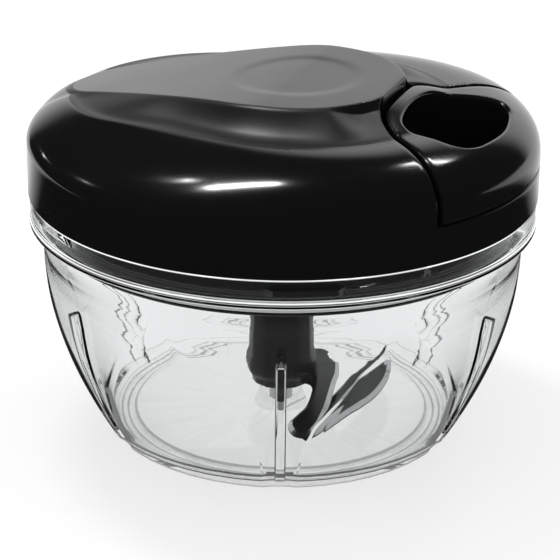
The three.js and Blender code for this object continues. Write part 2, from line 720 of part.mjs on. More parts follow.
// Pieces inside the lid's hollow: handle pocket, cup ring, axle boss and screw posts
function lidInside() {
  const above = LID_TOP + CUT;
  const pocket = solid(prism(recessOutline(-RECESS_WALL), RECESS_FLOOR - RECESS_BED, above));
  const cupRing = turnedRing([
    [CUP_RADIUS + FIT, CUP_BOTTOM], [CUP_RADIUS + FIT + CUP_RING_WALL, CUP_BOTTOM],
    [CUP_RADIUS + FIT + CUP_RING_WALL, above], [CUP_RADIUS + FIT, above],
  ], MIDDLE_SIDES);
  const axleBoss = turned([
    [0, CUP_COVER_TOP + FIT], [AXLE_BOSS_RADIUS, CUP_COVER_TOP + FIT], [AXLE_BOSS_RADIUS, above], [0, above],
  ], SMALL_SIDES);
  let inside = solid(cupRing).add(solid(axleBoss)).add(pocket);
  for (const place of screwPlaces()) {
    const post = turned([[0, PLATE_BOTTOM], [POST_RADIUS, PLATE_BOTTOM], [POST_RADIUS, above], [0, above]],
      SMALL_SIDES);
    inside = inside.add(solid(post.translate(place.x, place.y, 0)));
  }
  return inside;
}

function lidCover() {
  const lower = turned([
    [0, PLATE_TOP + FIT], [SCREW_CIRCLE + POST_RADIUS + CUT, PLATE_TOP + FIT],
    [SCREW_CIRCLE + POST_RADIUS + CUT, LID_BOTTOM + CUT], [0, LID_BOTTOM + CUT],
  ]);
  const recess = solid(prism(recessOutline(0), RECESS_FLOOR, LID_TOP + CUT));
  const hollow = lidBody(true).subtract(lidInside());
  let body = lidBody(false).add(solid(lower)).subtract(hollow).subtract(recess);
  for (const place of screwPlaces()) {
    const bore = turned([
      [0, PLATE_TOP], [SCREW_SHANK + FIT, PLATE_TOP],
      [SCREW_SHANK + FIT, PLATE_TOP + SCREW_LENGTH], [0, PLATE_TOP + SCREW_LENGTH],
    ], SMALL_SIDES);
    body = body.subtract(solid(bore.translate(place.x, place.y, 0)));
  }
  const axleTop = REEL_BOTTOM + AXLE_LENGTH + FIT;
  const axleBore = turned([
    [0, CUP_TOP], [AXLE_RADIUS + FIT, CUP_TOP], [AXLE_RADIUS + FIT, axleTop], [0, axleTop],
  ], SMALL_SIDES);
  body = body.subtract(solid(axleBore));
  const eyeletBore = turnedAlongX([
    [RECESS_NOSE_X - CUT, 0], [RECESS_NOSE_X - CUT, EYELET_TUBE + FIT],
    [RECESS_NOSE_X + CUT, EYELET_TUBE + FIT], [RECESS_NOSE_X + CUT, 0],
  ], CORD_HEIGHT);
  body = body.subtract(solid(eyeletBore));
  return part('lid_cover', geometryOf(body), glossBlack());
}

function fingerOutline() {
  const side = FINGER_SHARES.map(([x, y]) => new THREE.Vector2(
    FINGER_START_X + FINGER_LENGTH * x, FINGER_HALF_WIDTH * y));
  const mirrored = side.slice(1, -1).map((point) => new THREE.Vector2(point.x, -point.y));
  return [...side.reverse(), ...mirrored];
}

function pullHandle() {
  const bottom = RECESS_FLOOR + FIT;
  const blank = solid(prism(recessOutline(GROOVE), bottom, LID_TOP + CUT));
  const finger = solid(prism(fingerOutline(), bottom - CUT, LID_TOP + CUT));
  const cordBore = turnedAlongX([
    [RECESS_NOSE_X, 0], [RECESS_NOSE_X, CORD_RADIUS + FIT],
    [FINGER_START_X + CUT, CORD_RADIUS + FIT], [FINGER_START_X + CUT, 0],
  ], CORD_HEIGHT);
  const pocket = turnedAlongX([
    [FINGER_START_X - KNOT_POCKET_DEPTH, 0], [FINGER_START_X - KNOT_POCKET_DEPTH, KNOT_RADIUS + FIT],
    [FINGER_START_X + CUT, KNOT_RADIUS + FIT], [FINGER_START_X + CUT, 0],
  ], CORD_HEIGHT);
  const body = lidBody(false).intersect(blank).subtract(finger).subtract(solid(cordBore));
  return part('pull_handle', geometryOf(body.subtract(solid(pocket))), glossBlack());
}

function cordKnot() {
  const start = FINGER_START_X - KNOT_POCKET_DEPTH + FIT;
  const end = start + KNOT_LENGTH;
  const geometry = turnedAlongX([
    [start, 0], [start, KNOT_RADIUS / 2], [(start + end) / 2, KNOT_RADIUS], [end, KNOT_RADIUS / 2], [end, 0],
  ], CORD_HEIGHT);
  return part('cord_knot', geometry, cordBlack());
}

function cordEyelet() {
  const inner = RECESS_NOSE_X - RECESS_WALL;
  const outline = [
    [inner - FIT - EYELET_FLANGE_WALL, EYELET_BORE], [RECESS_NOSE_X, EYELET_BORE],
    [RECESS_NOSE_X, EYELET_TUBE], [inner - FIT, EYELET_TUBE], [inner - FIT, EYELET_FLANGE],
    [inner - FIT - EYELET_FLANGE_WALL, EYELET_FLANGE],
  ];
  const geometry = turnedAlongX([outline[0], ...outline.reverse()], CORD_HEIGHT);
  return part('cord_eyelet', geometry, polishedSteel());
}

// Cord from the winding's tangent point through the eyelet to the knot
function pullCord() {
  const turn = WINDING_RADIUS + CORD_RADIUS + FIT;
  const throat = RECESS_NOSE_X - RECESS_WALL - EYELET_FLANGE_WALL - FIT;
  const bend = Math.acos(turn / throat);
  const end = FINGER_START_X - KNOT_POCKET_DEPTH;
  const start = new THREE.Vector3(turn * Math.cos(bend), -turn * Math.sin(bend), CORD_HEIGHT);
  const corner = new THREE.Vector3(throat - CORD_RADIUS, 0, CORD_HEIGHT);
  const after = new THREE.Vector3(throat + CORD_RADIUS * 2, 0, CORD_HEIGHT);
  const path = new THREE.CurvePath();
  const before = start.clone().lerp(corner, 1 - (CORD_RADIUS * 3) / start.distanceTo(corner));
  path.add(new THREE.LineCurve3(start, before));
  path.add(new THREE.QuadraticBezierCurve3(before, corner, after));
  path.add(new THREE.LineCurve3(after, new THREE.Vector3(end, 0, CORD_HEIGHT)));
  const section = new THREE.Shape();
  for (let i = 0; i <= CORD_SIDES; i += 1) {
    const angle = (2 * Math.PI * i) / CORD_SIDES;
    const x = CORD_RADIUS * Math.cos(angle);
    const y = CORD_RADIUS * Math.sin(angle);
    if (i === 0) {
      section.moveTo(x, y);
    } else {
      section.lineTo(x, y);
    }
  }
  const geometry = new THREE.ExtrudeGeometry(section, { steps: CORD_STEPS, extrudePath: path });
  return part('pull_cord', geometry, cordBlack());
}

function cordReel() {
  const bore = AXLE_RADIUS + FIT;
  const socket = SHAFT_CORNER + FIT;
  const step = SHAFT_TOP + FIT;
  const geometry = turnedRing([
    [socket, REEL_NECK_FOOT], [REEL_NECK_RADIUS, REEL_NECK_FOOT], [REEL_NECK_RADIUS, REEL_BOTTOM],
    [REEL_FLANGE_RADIUS, REEL_BOTTOM], [REEL_FLANGE_RADIUS, REEL_BOTTOM + REEL_FLANGE_WALL],
    [REEL_CORE_RADIUS, REEL_BOTTOM + REEL_FLANGE_WALL], [REEL_CORE_RADIUS, REEL_TOP - REEL_FLANGE_WALL],
    [REEL_FLANGE_RADIUS, REEL_TOP - REEL_FLANGE_WALL], [REEL_FLANGE_RADIUS, REEL_TOP],
    [REEL_ARBOR_RADIUS, REEL_TOP], [REEL_ARBOR_RADIUS, REEL_TOP + ARBOR_LENGTH],
    [bore, REEL_TOP + ARBOR_LENGTH], [bore, step], [socket, step],
  ], MIDDLE_SIDES);
  return part('cord_reel', geometry, whiteNylon());
}

function cordWinding() {
  const bottom = REEL_BOTTOM + REEL_FLANGE_WALL + FIT;
  const top = REEL_TOP - REEL_FLANGE_WALL - FIT;
  const geometry = turnedRing([
    [REEL_CORE_RADIUS + FIT, bottom], [WINDING_RADIUS, bottom],
    [WINDING_RADIUS, top], [REEL_CORE_RADIUS + FIT, top],
  ], MIDDLE_SIDES);
  return part('cord_winding', geometry, cordBlack());
}

function reelAxle() {
  const bottom = SHAFT_TOP + FIT + FIT;
  const top = REEL_BOTTOM + AXLE_LENGTH;
  const geometry = turned([[0, bottom], [AXLE_RADIUS, bottom], [AXLE_RADIUS, top], [0, top]], SMALL_SIDES);
  return part('reel_axle', geometry, springSteel());
}

function springCup() {
  const bore = REEL_ARBOR_RADIUS + RUNNING_GAP;
  const geometry = turnedRing([
    [bore, CUP_BOTTOM], [CUP_RADIUS, CUP_BOTTOM], [CUP_RADIUS, CUP_TOP],
    [CUP_RADIUS - CUP_WALL, CUP_TOP], [CUP_RADIUS - CUP_WALL, CUP_BOTTOM + CUP_FLOOR],
    [bore, CUP_BOTTOM + CUP_FLOOR],
  ], MIDDLE_SIDES);
  return part('spring_cup', geometry, satinBlack());
}

function springCover() {
  const bottom = CUP_TOP + FIT;
  const geometry = turnedRing([
    [CUP_COVER_BORE, bottom], [CUP_RADIUS, bottom],
    [CUP_RADIUS, CUP_COVER_TOP], [CUP_COVER_BORE, CUP_COVER_TOP],
  ], MIDDLE_SIDES);
  return part('spring_cover', geometry, satinBlack());
}

// Flat spiral strip in the cup, from the reel's arbor out to the cup's wall
function recoilSpring() {
  const inner = REEL_ARBOR_RADIUS + RUNNING_GAP;
  const outer = CUP_RADIUS - CUP_WALL - FIT - SPRING_STRIP;
  const count = SPRING_TURNS * SPRING_STEPS;
  const near = [];
  const far = [];
  for (let i = 0; i <= count; i += 1) {
    const angle = (2 * Math.PI * i) / SPRING_STEPS;
    const r = inner + ((outer - inner) * i) / count;
    near.push(new THREE.Vector2(r * Math.cos(angle), r * Math.sin(angle)));
    far.push(new THREE.Vector2((r + SPRING_STRIP) * Math.cos(angle), (r + SPRING_STRIP) * Math.sin(angle)));
  }
  let least = Infinity;
  for (let i = 0; i <= count; i += 1) {
    for (let j = i + SPRING_STEPS / 2; j <= count; j += 1) {
      least = Math.min(least, near[j].distanceTo(far[i]));
    }
  }
  console.log(`recoil spring: least gap to itself ${least.toFixed(2)} mm`);
  const bottom = CUP_BOTTOM + CUP_FLOOR + FIT;
  const geometry = prism([...far, ...near.reverse()], bottom, CUP_TOP - FIT);
  return part('recoil_spring', geometry, springSteel());
}

function lidBase() {
  const inner = BASE_SKIRT_RADIUS - SEAL_SLOT_DEPTH - BASE_WALL;
  const slotBottom = PLATE_BOTTOM + SEAL_SLOT_RISE;
  const slotTop = slotBottom + SEAL_SLOT_HEIGHT;
  const flangeTop = LID_BOTTOM + FIT + BASE_FLANGE_WALL;
  const shell = turnedRing([
    [PLATE_BORE, PLATE_BOTTOM], [BASE_SKIRT_RADIUS - BASE_CHAMFER, PLATE_BOTTOM],
    [BASE_SKIRT_RADIUS, slotBottom], [BASE_SKIRT_RADIUS - SEAL_SLOT_DEPTH, slotBottom],
    [BASE_SKIRT_RADIUS - SEAL_SLOT_DEPTH, slotTop], [BASE_SKIRT_RADIUS, slotTop],
    [BASE_SKIRT_RADIUS, BASE_STEP_Z], [BASE_COLLAR_RADIUS, BASE_STEP_Z],
    [BASE_COLLAR_RADIUS, LID_BOTTOM + FIT], [BASE_FLANGE_RADIUS, LID_BOTTOM + FIT],
    [BASE_FLANGE_RADIUS, flangeTop], [BASE_COLLAR_RADIUS - BASE_WALL, flangeTop],
    [BASE_COLLAR_RADIUS - BASE_WALL, BASE_STEP_Z + BASE_WALL], [inner, BASE_STEP_Z],
    [inner, PLATE_TOP], [PLATE_BORE, PLATE_TOP],
  ], RING_SIDES);
  let body = solid(shell);
  const lugTop = BOWL_LUG_TOP - BOWL_LUG_HEIGHT - LUG_GAP;
  for (let k = 0; k < LUG_COUNT; k += 1) {
    const middle = LID_LUG_TURN_DEG + (k * 360) / LUG_COUNT;
    const lug = arcBlock(BASE_COLLAR_RADIUS - LUG_ROOT, COLLAR_BORE - RUNNING_GAP,
      lugTop - LID_LUG_HEIGHT, lugTop, middle);
    body = body.add(lug);
  }
  const headDepth = SCREW_HEAD + FIT;
  for (const place of screwPlaces()) {
    const hole = turned([
      [0, PLATE_BOTTOM - CUT], [SCREW_HEAD_RADIUS + FIT, PLATE_BOTTOM - CUT],
      [SCREW_HEAD_RADIUS + FIT, PLATE_BOTTOM + headDepth], [SCREW_SHANK + FIT, PLATE_BOTTOM + headDepth],
      [SCREW_SHANK + FIT, PLATE_TOP + CUT], [0, PLATE_TOP + CUT],
    ], SMALL_SIDES);
    body = body.subtract(solid(hole.translate(place.x, place.y, 0)));
  }
  return part('lid_base', geometryOf(body), glossBlack());
}

function lidScrew(place, name) {
  const tip = PLATE_BOTTOM + SCREW_HEAD + SCREW_LENGTH;
  const geometry = turned([
    [0, PLATE_BOTTOM], [SCREW_HEAD_RADIUS, PLATE_BOTTOM],
    [SCREW_HEAD_RADIUS, PLATE_BOTTOM + SCREW_HEAD], [SCREW_SHANK, PLATE_BOTTOM + SCREW_HEAD],
    [SCREW_SHANK, tip - SCREW_SHANK], [SCREW_SHANK / 2, tip], [0, tip],
  ], SMALL_SIDES);
  const mesh = part(name, geometry, polishedSteel());
  mesh.position.set(place.x, place.y, 0);
  return mesh;
}

function lidSeal() {
  const bottom = PLATE_BOTTOM + SEAL_SLOT_RISE + FIT;
  const top = PLATE_BOTTOM + SEAL_SLOT_RISE + SEAL_SLOT_HEIGHT - FIT;
  const inner = BASE_SKIRT_RADIUS - SEAL_SLOT_DEPTH + FIT;
  const outer = bowlRadius(bottom) - BOWL_WALL - FIT;
  const lip = (bottom + top) / 2;
  const geometry = turnedRing([
    [inner, bottom], [BASE_SKIRT_RADIUS, bottom], [outer, lip], [BASE_SKIRT_RADIUS, top], [inner, top],
  ], RING_SIDES);
  return part('lid_seal', geometry, greySilicone());
}

function hexagon(corner) {
  const outline = [];
  for (let i = 0; i < SHAFT_SIDES; i += 1) {
    const angle = (2 * Math.PI * i) / SHAFT_SIDES;
    outline.push(new THREE.Vector2(corner * Math.cos(angle), corner * Math.sin(angle)));
  }
  return outline;
}

function driveShaft() {
  const collarBottom = PLATE_TOP + FIT;
  const shaft = solid(prism(hexagon(SHAFT_CORNER), SHAFT_BOTTOM, SHAFT_TOP));
  const collar = solid(turned([
    [0, collarBottom], [SHAFT_COLLAR_RADIUS, collarBottom],
    [SHAFT_COLLAR_RADIUS, collarBottom + SHAFT_COLLAR], [0, collarBottom + SHAFT_COLLAR],
  ]));
  return part('drive_shaft', geometryOf(shaft.add(collar)), springSteel());
}

// Bush in the base plate's bore, round the shaft
function shaftBush() {
  const outer = PLATE_BORE - FIT;
  const geometry = turnedRing([
    [outer - BUSH_WALL, PLATE_BOTTOM], [outer, PLATE_BOTTOM], [outer, PLATE_TOP], [outer - BUSH_WALL, PLATE_TOP],
  ]);
  return part('shaft_bush', geometry, whiteNylon());
}

// Washer between the shaft's collar and the reel's neck
function reelWasher() {
  const bottom = PLATE_TOP + FIT + SHAFT_COLLAR + FIT;
  const top = REEL_NECK_FOOT - FIT;
  const geometry = turnedRing([
    [SHAFT_CORNER + RUNNING_GAP, bottom], [SHAFT_COLLAR_RADIUS, bottom],
    [SHAFT_COLLAR_RADIUS, top], [SHAFT_CORNER + RUNNING_GAP, top],
  ]);
  return part('reel_spacer', geometry, whiteNylon());
}

function bladeOutline(shares, reach, turnDeg) {
  const points = shares.map(([x, y]) => new THREE.Vector2(x * reach, y * reach));
  points.forEach((point) => point.rotateAround(new THREE.Vector2(), radians(turnDeg)));
  return THREE.ShapeUtils.isClockWise(points) ? points.reverse() : points;
}

// Blade plate with a thin bevel round its outline
function bladePlate(outline, z) {
  const geometry = new THREE.ExtrudeGeometry(new THREE.Shape(outline), {
    depth: BLADE_WALL - 2 * BLADE_EDGE,
    bevelEnabled: true,
    bevelThickness: BLADE_EDGE,
    bevelSize: BLADE_EDGE,
    bevelOffset: -BLADE_EDGE,
    bevelSegments: 1,
  });
  return geometry.translate(0, 0, z + BLADE_EDGE);
}

function bladeSlot(outline, z) {
  return solid(prism(grown(outline, FIT), z - FIT, z + BLADE_WALL + FIT));
}

const MIDDLE_OUTLINE = bladeOutline(SICKLE_SHARES, MIDDLE_BLADE_REACH, 0);
const LOWER_OUTLINE = bladeOutline(CRESCENT_SHARES, LOWER_BLADE_REACH, 0);
const UPPER_OUTLINE = bladeOutline(SICKLE_SHARES, UPPER_BLADE_REACH, UPPER_BLADE_TURN_DEG);

function bladeHub() {
  const collarBottom = HUB_COLLAR_Z - HUB_COLLAR_HEIGHT / 2;
  const collarTop = HUB_COLLAR_Z + HUB_COLLAR_HEIGHT / 2;
  const blank = turned([
    [0, HUB_BOTTOM], [HUB_FOOT_RADIUS, HUB_BOTTOM], [HUB_FOOT_RADIUS, HUB_BOTTOM + HUB_FOOT_RISE],
    [HUB_COLLAR_RADIUS, collarBottom], [HUB_COLLAR_RADIUS, collarTop],
    [HUB_RADIUS, collarTop + HUB_FOOT_RISE], [HUB_RADIUS, HUB_TOP], [0, HUB_TOP],
  ], HUB_SIDES);
  const bushRadius = HUB_BORE + PIVOT_BUSH_WALL + FIT;
  const bushTop = BOSS_TOP + FIT + PIVOT_BUSH_HEIGHT + FIT;
  const bore = turned([
    [0, HUB_BOTTOM - CUT], [bushRadius, HUB_BOTTOM - CUT], [bushRadius, bushTop],
    [HUB_BORE, bushTop], [HUB_BORE, HUB_BORE_TOP], [0, HUB_BORE_TOP],
  ], SMALL_SIDES);
  const socket = prism(hexagon(SOCKET_CORNER), SHAFT_BOTTOM - FIT, HUB_TOP + CUT);
  const body = solid(blank).subtract(solid(bore)).subtract(solid(socket))
    .subtract(bladeSlot(LOWER_OUTLINE, LOWER_BLADE_Z))
    .subtract(bladeSlot(MIDDLE_OUTLINE, MIDDLE_BLADE_Z))
    .subtract(bladeSlot(UPPER_OUTLINE, UPPER_BLADE_Z));
  return part('blade_hub', geometryOf(body), hubBlack());
}

function pivotBush() {
  const bottom = BOSS_TOP + FIT;
  const geometry = turnedRing([
    [HUB_BORE, bottom], [HUB_BORE + PIVOT_BUSH_WALL, bottom],
    [HUB_BORE + PIVOT_BUSH_WALL, bottom + PIVOT_BUSH_HEIGHT], [HUB_BORE, bottom + PIVOT_BUSH_HEIGHT],
  ], SMALL_SIDES);
  return part('pivot_bush', geometry, whiteNylon());
}

function bladeUnit() {
  const unit = new THREE.Group();
  unit.add(bladeHub());
  unit.add(pivotBush());
  unit.add(part('blade_lower', bladePlate(LOWER_OUTLINE, LOWER_BLADE_Z), polishedSteel()));
  unit.add(part('blade_middle', bladePlate(MIDDLE_OUTLINE, MIDDLE_BLADE_Z), polishedSteel()));
  unit.add(part('blade_upper', bladePlate(UPPER_OUTLINE, UPPER_BLADE_Z), polishedSteel()));
  unit.rotation.z = radians(BLADE_TURN_DEG);
  return unit;
}

const chopper = new THREE.Group();
chopper.add(bowl());
chopper.add(pivotPin());
chopper.add(lidSeal());
chopper.add(lidCover());
chopper.add(lidBase());
screwPlaces().forEach((place, i) => chopper.add(lidScrew(place, `lid_screw_${i + 1}`)));
chopper.add(shaftBush());
chopper.add(springCup());
chopper.add(springCover());
chopper.add(recoilSpring());
chopper.add(reelAxle());
chopper.add(cordEyelet());
chopper.add(cordReel());
chopper.add(cordWinding());
chopper.add(driveShaft());
chopper.add(reelWasher());
chopper.add(pullHandle());
chopper.add(cordKnot());
chopper.add(pullCord());
chopper.add(bladeUnit());

export default chopper;
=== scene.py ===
"""Manual food chopper with a pull cord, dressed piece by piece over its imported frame.

The clear bowl, the lid, the pull handle, the blade unit and the cord are modelled here. The hidden
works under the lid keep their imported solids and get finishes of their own. Lengths inside the
modelling functions are millimetres in the frame's axes, and each finished mesh is in metres.
"""

import math

import bmesh
import bpy
from bpy.props import FloatProperty, FloatVectorProperty, PointerProperty
from mathutils import Matrix, Vector
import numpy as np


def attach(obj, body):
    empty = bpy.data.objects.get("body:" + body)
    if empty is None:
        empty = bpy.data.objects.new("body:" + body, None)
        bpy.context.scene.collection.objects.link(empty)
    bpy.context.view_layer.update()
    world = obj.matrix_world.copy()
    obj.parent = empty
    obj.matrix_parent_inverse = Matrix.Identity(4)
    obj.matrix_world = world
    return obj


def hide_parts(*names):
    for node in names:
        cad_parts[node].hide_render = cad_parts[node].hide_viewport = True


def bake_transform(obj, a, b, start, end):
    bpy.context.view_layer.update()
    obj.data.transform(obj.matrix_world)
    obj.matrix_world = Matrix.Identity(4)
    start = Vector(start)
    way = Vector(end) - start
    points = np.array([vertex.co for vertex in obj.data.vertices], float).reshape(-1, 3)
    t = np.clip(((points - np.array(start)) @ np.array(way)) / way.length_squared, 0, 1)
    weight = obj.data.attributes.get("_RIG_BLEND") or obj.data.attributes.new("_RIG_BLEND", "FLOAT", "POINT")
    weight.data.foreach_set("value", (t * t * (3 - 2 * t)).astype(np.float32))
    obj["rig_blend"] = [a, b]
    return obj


bl_info = {
    "name": "Pull Cord Chopper",
    "version": (1, 0, 0),
    "blender": (4, 5, 0),
    "location": "3D View > Sidebar > Chopper",
    "description": "Builds a manual food chopper piece by piece over its packed frame",
    "category": "Add Mesh",
}

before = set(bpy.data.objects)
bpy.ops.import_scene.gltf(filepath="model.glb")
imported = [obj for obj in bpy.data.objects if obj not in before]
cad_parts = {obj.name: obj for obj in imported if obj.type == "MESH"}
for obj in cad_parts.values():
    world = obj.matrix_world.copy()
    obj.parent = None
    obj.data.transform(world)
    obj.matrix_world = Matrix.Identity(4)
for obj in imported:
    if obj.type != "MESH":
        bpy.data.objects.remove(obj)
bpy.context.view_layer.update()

# Bowl, in millimetres, with heights as shares of the wall's height
WALL_HEIGHT = 54.6
BULGE = 2.144
FLUTES = 6
FLUTE_HEIGHTS = (0, 0.22, 0.385, 0.513, 0.641, 0.733, 0.842, 0.916, 1)
FLUTE_HALF_ANGLES = (4.9, 6, 8.9, 14, 18.5, 24.5, 28.5, 28.5, 28.5)
FLUTE_DEPTHS = (0.23, 0.385, 0.577, 0.77, 1, 1, 0.615, 0, 0)
RIB_BOTTOM = 2.7
RIB_TOP = 39.5
COLLAR_TOP = 62.3
RIB_SECTION = ((0.4, 1), (0.66, 0.99), (0.8, 0.9), (0.9, 0.6), (0.97, 0.2), (1.04, 0), (1.16, 0))
FLUTE_SHARES = (0.1, 0.22, 0.34, 0.46, 0.58, 0.69, 0.79, 0.87, 0.93, 0.97, 1.0)
WALL_SHARES = (0.12, 0.35, 0.68)
FLUTE_POWER_LOW, FLUTE_POWER_HIGH = 3.0, 1.8
LUG_ARC = 16
BOWL_LUG_TURN, BOWL_LUG_REACH = 45, 1.6
BASE_LUG_TURN, BASE_LUG_REACH = 25, 1.7

# Lid, in millimetres and degrees away from the nose
LID_BOTTOM = 62.6
LID_TOP = 91.5
WALL_ROWS = (63.6, 65.0, 66.5, 68.0, 69.5)
SHOULDER_Z = 73.5
SHOULDER_TAIL_RISE = 2.4
SHOULDER_TAIL_START, SHOULDER_TAIL_SPAN = 100, 60
SHOULDER_NOSE_POWER, SHOULDER_TAIL_POWER = 0.84, 1.24
SHOULDER_POWER_START, SHOULDER_POWER_SPAN = 40, 60
SHOULDER_HOLLOW = 0.25
SHOULDER_HOLLOW_START, SHOULDER_HOLLOW_SPAN = 60, 90
SHOULDER_STEPS = 14
CREASE_Z = 85.9
CREASE_FALL = 3.0
CREASE_LEDGE = 1.8
CREASE_LIP = 1.0
BAND_SHARES = (0.3, 0.4, 0.5, 0.6, 0.7, 0.8, 0.9)
BAND_FOOT = 0.9
BAND_VALLEY, BAND_VALLEY_SHARE = 2.4, 0.3
VALLEY_RISE = 0.06
UNDER_STEPS = (0, 0.9, 1.8, 2.7)
BAND_BOW = 1.7
BAND_BOW_START, BAND_BOW_RISE, BAND_BOW_END, BAND_BOW_FALL = 45, 25, 150, 30
NOSE_STEP = 2.3
NOSE_STEP_START, NOSE_STEP_SPAN = 32, 20
PLATEAU_FALL = 9.0
PLATEAU_RIM = 1.2
PLATEAU_LENGTH = 59.5
DISH_SLOPE = ((2.2, 0.09), (1.2, 0.33), (0.3, 0.66), (-0.6, 0.91), (-1.8, 1))
RECESS_FLOOR = 71.5
RECESS_NOSE_X = 28.5
RECESS_NOSE_HALF = 9.0
RECESS_FLANK_X = 14.0
RECESS_CORNER = 5.5
PLATEAU_X = 3.3
PLATEAU_TAIL_X = -44.7
PLATEAU_TAIL_RADIUS = 11.5
CREASE_X = 5.5
CREASE_TAIL_X = -23.7
CREASE_TAIL_RADIUS = 31.2
SCREW_CIRCLE, SCREW_COUNT, FIRST_SCREW, SCREW_STEP = 43, 4, 60, 80
FINGER_OUTLINE = (
    (0, 0), (0.01, 0.32), (0.04, 0.58), (0.09, 0.73), (0.17, 0.82), (0.3, 0.88), (0.44, 0.93),
    (0.56, 0.98), (0.66, 1), (0.76, 0.97), (0.84, 0.88), (0.91, 0.7), (0.96, 0.45), (0.99, 0.21),
    (1, 0),
)

# Cord, in millimetres; each layer on the reel is (radius, first height, last height)
CORD_HEIGHT = 77.0
CORD_LEAVES, EYELET_THROAT = 18.5, 26.0
HANDLE_POINTS = (28.2, 28.5, 28.9, 29.4, 29.9, 30.4, 30.9)
KNOT_X, KNOT_SIZE, KNOT_STRAND, KNOT_STEPS = 32.2, 0.5, 0.55, 48
REEL_LAYERS = ((14.3, 75.3, 78.7), (16.15, 78.7, 75.3))
LAYER_TURNS, TURN_STEPS, TURN_STRAND = 2, 28, 0.95

# Blades, each outline in shares of its reach from the pin
SICKLE = (
    (0.075, 0.098), (0.18, 0.222), (0.28, 0.218), (0.336, 0.09), (0.346, -0.09), (0.32, -0.295),
    (0.278, -0.562), (0.235, -0.752), (0.195, -0.91), (0.142, -0.985), (0.08, -0.97),
    (0.045, -0.885), (0.05, -0.8), (0.092, -0.702), (0.15, -0.564), (0.18, -0.398),
    (0.19, -0.226), (0.18, -0.1), (0.122, -0.03),
)
CRESCENT = (
    (0.088, -0.098), (0.19, -0.14), (0.21, -0.257), (0.189, -0.419), (0.151, -0.595),
    (0.124, -0.757), (0.124, -0.905), (0.159, -0.982), (0.227, -0.957), (0.338, -0.789),
    (0.449, -0.616), (0.551, -0.476), (0.649, -0.314), (0.73, -0.108), (0.773, 0.108),
    (0.789, 0.34), (0.778, 0.486), (0.741, 0.549), (0.657, 0.395), (0.557, 0.17),
    (0.416, -0.151), (0.33, -0.341), (0.297, -0.357), (0.303, -0.216), (0.276, -0.068),
    (0.222, 0.043), (0.13, 0.018),
)
# Each blade is (name, outline, reach, height, turn in degrees)
BLADES = (("blade_middle", SICKLE, 42.0, 13.0, 0.0), ("blade_lower", CRESCENT, 37.0, 9.9, 0.0),
          ("blade_upper", SICKLE, 40.0, 38.0, 170.0))

# Studio. Lights are (name, place, aim, width, height, power) in metres and watts
CAMERA_LEAN_Y, CAMERA_LEAN_X, CAMERA_ROLL = 0.0009, -0.0131, math.radians(0.652)
KEY_ROLL = -0.55
SMALL_LIGHTS = (
    ("right", (0.235, 0.4, 0.585), (0.035, -0.044, 0.084), 0.14, 0.022, 0.35),
    ("left", (-0.413, 0.373, 0.309), (-0.056, -0.022, 0.079), 0.02, 0.01, 0.018),
    ("far_left", (-0.393, 0.22, 0.464), (-0.046, -0.039, 0.078), 0.02, 0.01, 0.014),
    ("spot", (-0.247, 0.313, 0.641), (-0.026, -0.047, 0.082), 0.02, 0.02, 0.06),
)


def length(name, description, default):
    return FloatProperty(name=name, description=description, default=default, min=0.0,
                         unit="LENGTH")


def turn(name, description, degrees):
    return FloatProperty(name=name, description=description, default=math.radians(degrees),
                         unit="ROTATION")


def colour(name, description, default):
    return FloatVectorProperty(name=name, description=description, default=default, size=3,
                               min=0.0, max=1.0, subtype="COLOR")


class BowlSettings(bpy.types.PropertyGroup):
    """Sizes of the clear bowl"""

    base_radius: length("Base radius", "Radius of the bowl's wall at the table", 0.0444)
    mouth_radius: length("Mouth radius", "Radius of the wall below the collar", 0.0603)
    wall: length("Wall", "Thickness of the wall", 0.0022)
    floor: length("Floor", "Thickness of the floor", 0.0032)
    flute_depth: length("Flute depth", "Depth of each flute at its deepest", 0.0026)
    rib_width: length("Rib width", "Width of the thin rib down each flute", 0.0025)
    collar_radius: length("Collar radius", "Radius of the collar at its top", 0.0635)
    collar_bore: length("Collar bore", "Inner radius of the collar", 0.0614)
    flute_turn: turn("Flute turn", "Plan angle of the first flute", -10)


class LidSettings(bpy.types.PropertyGroup):
    """Sizes of the lid"""

    radius: length("Radius", "Radius of the lid's wall", 0.0635)
    wall: length("Wall", "Thickness of the lid's skin", 0.0016)
    crease_radius: length("Crease radius", "Radius of the crease above the shoulder", 0.0383)
    plateau_radius: length("Plateau radius", "Radius of the raised plateau", 0.0265)
    dish_radius: length("Dish radius", "Radius of the shallow dish in the plateau", 0.0145)
    dish_depth: length("Dish depth", "Depth of the dish", 0.00022)
    rim_softness: length("Rim softness", "Rounding of the recess's rim", 0.0006)


class HandleSettings(bpy.types.PropertyGroup):
    """Sizes of the pull handle and its cord"""

    groove: length("Groove", "Gap between the handle and its recess", 0.0013)
    finger_start: length("Finger hole start", "Distance from the axis to the finger hole", 0.0332)
    finger_length: length("Finger hole length", "Length of the finger hole along the pull", 0.0228)
    finger_half: length("Finger hole half width", "Half the width of the finger hole", 0.018)
    edge_softness: length("Edge softness", "Rounding of the handle's outer edge", 0.0006)
    lip_softness: length("Lip softness", "Rounding of the finger hole's lip", 0.0011)
    cord_diameter: length("Cord diameter", "Diameter of the pull cord", 0.002)


class BladeSettings(bpy.types.PropertyGroup):
    """Sizes of the blade unit"""

    hub_radius: length("Hub radius", "Radius of the hub above its collar", 0.0082)
    hub_collar: length("Hub collar", "Radius of the hub's collar", 0.0089)
    plate: length("Blade plate", "Thickness of the blades", 0.0011)
    ground_edge: length("Ground edge", "Width of the bevel along a blade's outline", 0.001)
    unit_turn: turn("Unit turn", "Plan angle of the blade unit at rest", 20)


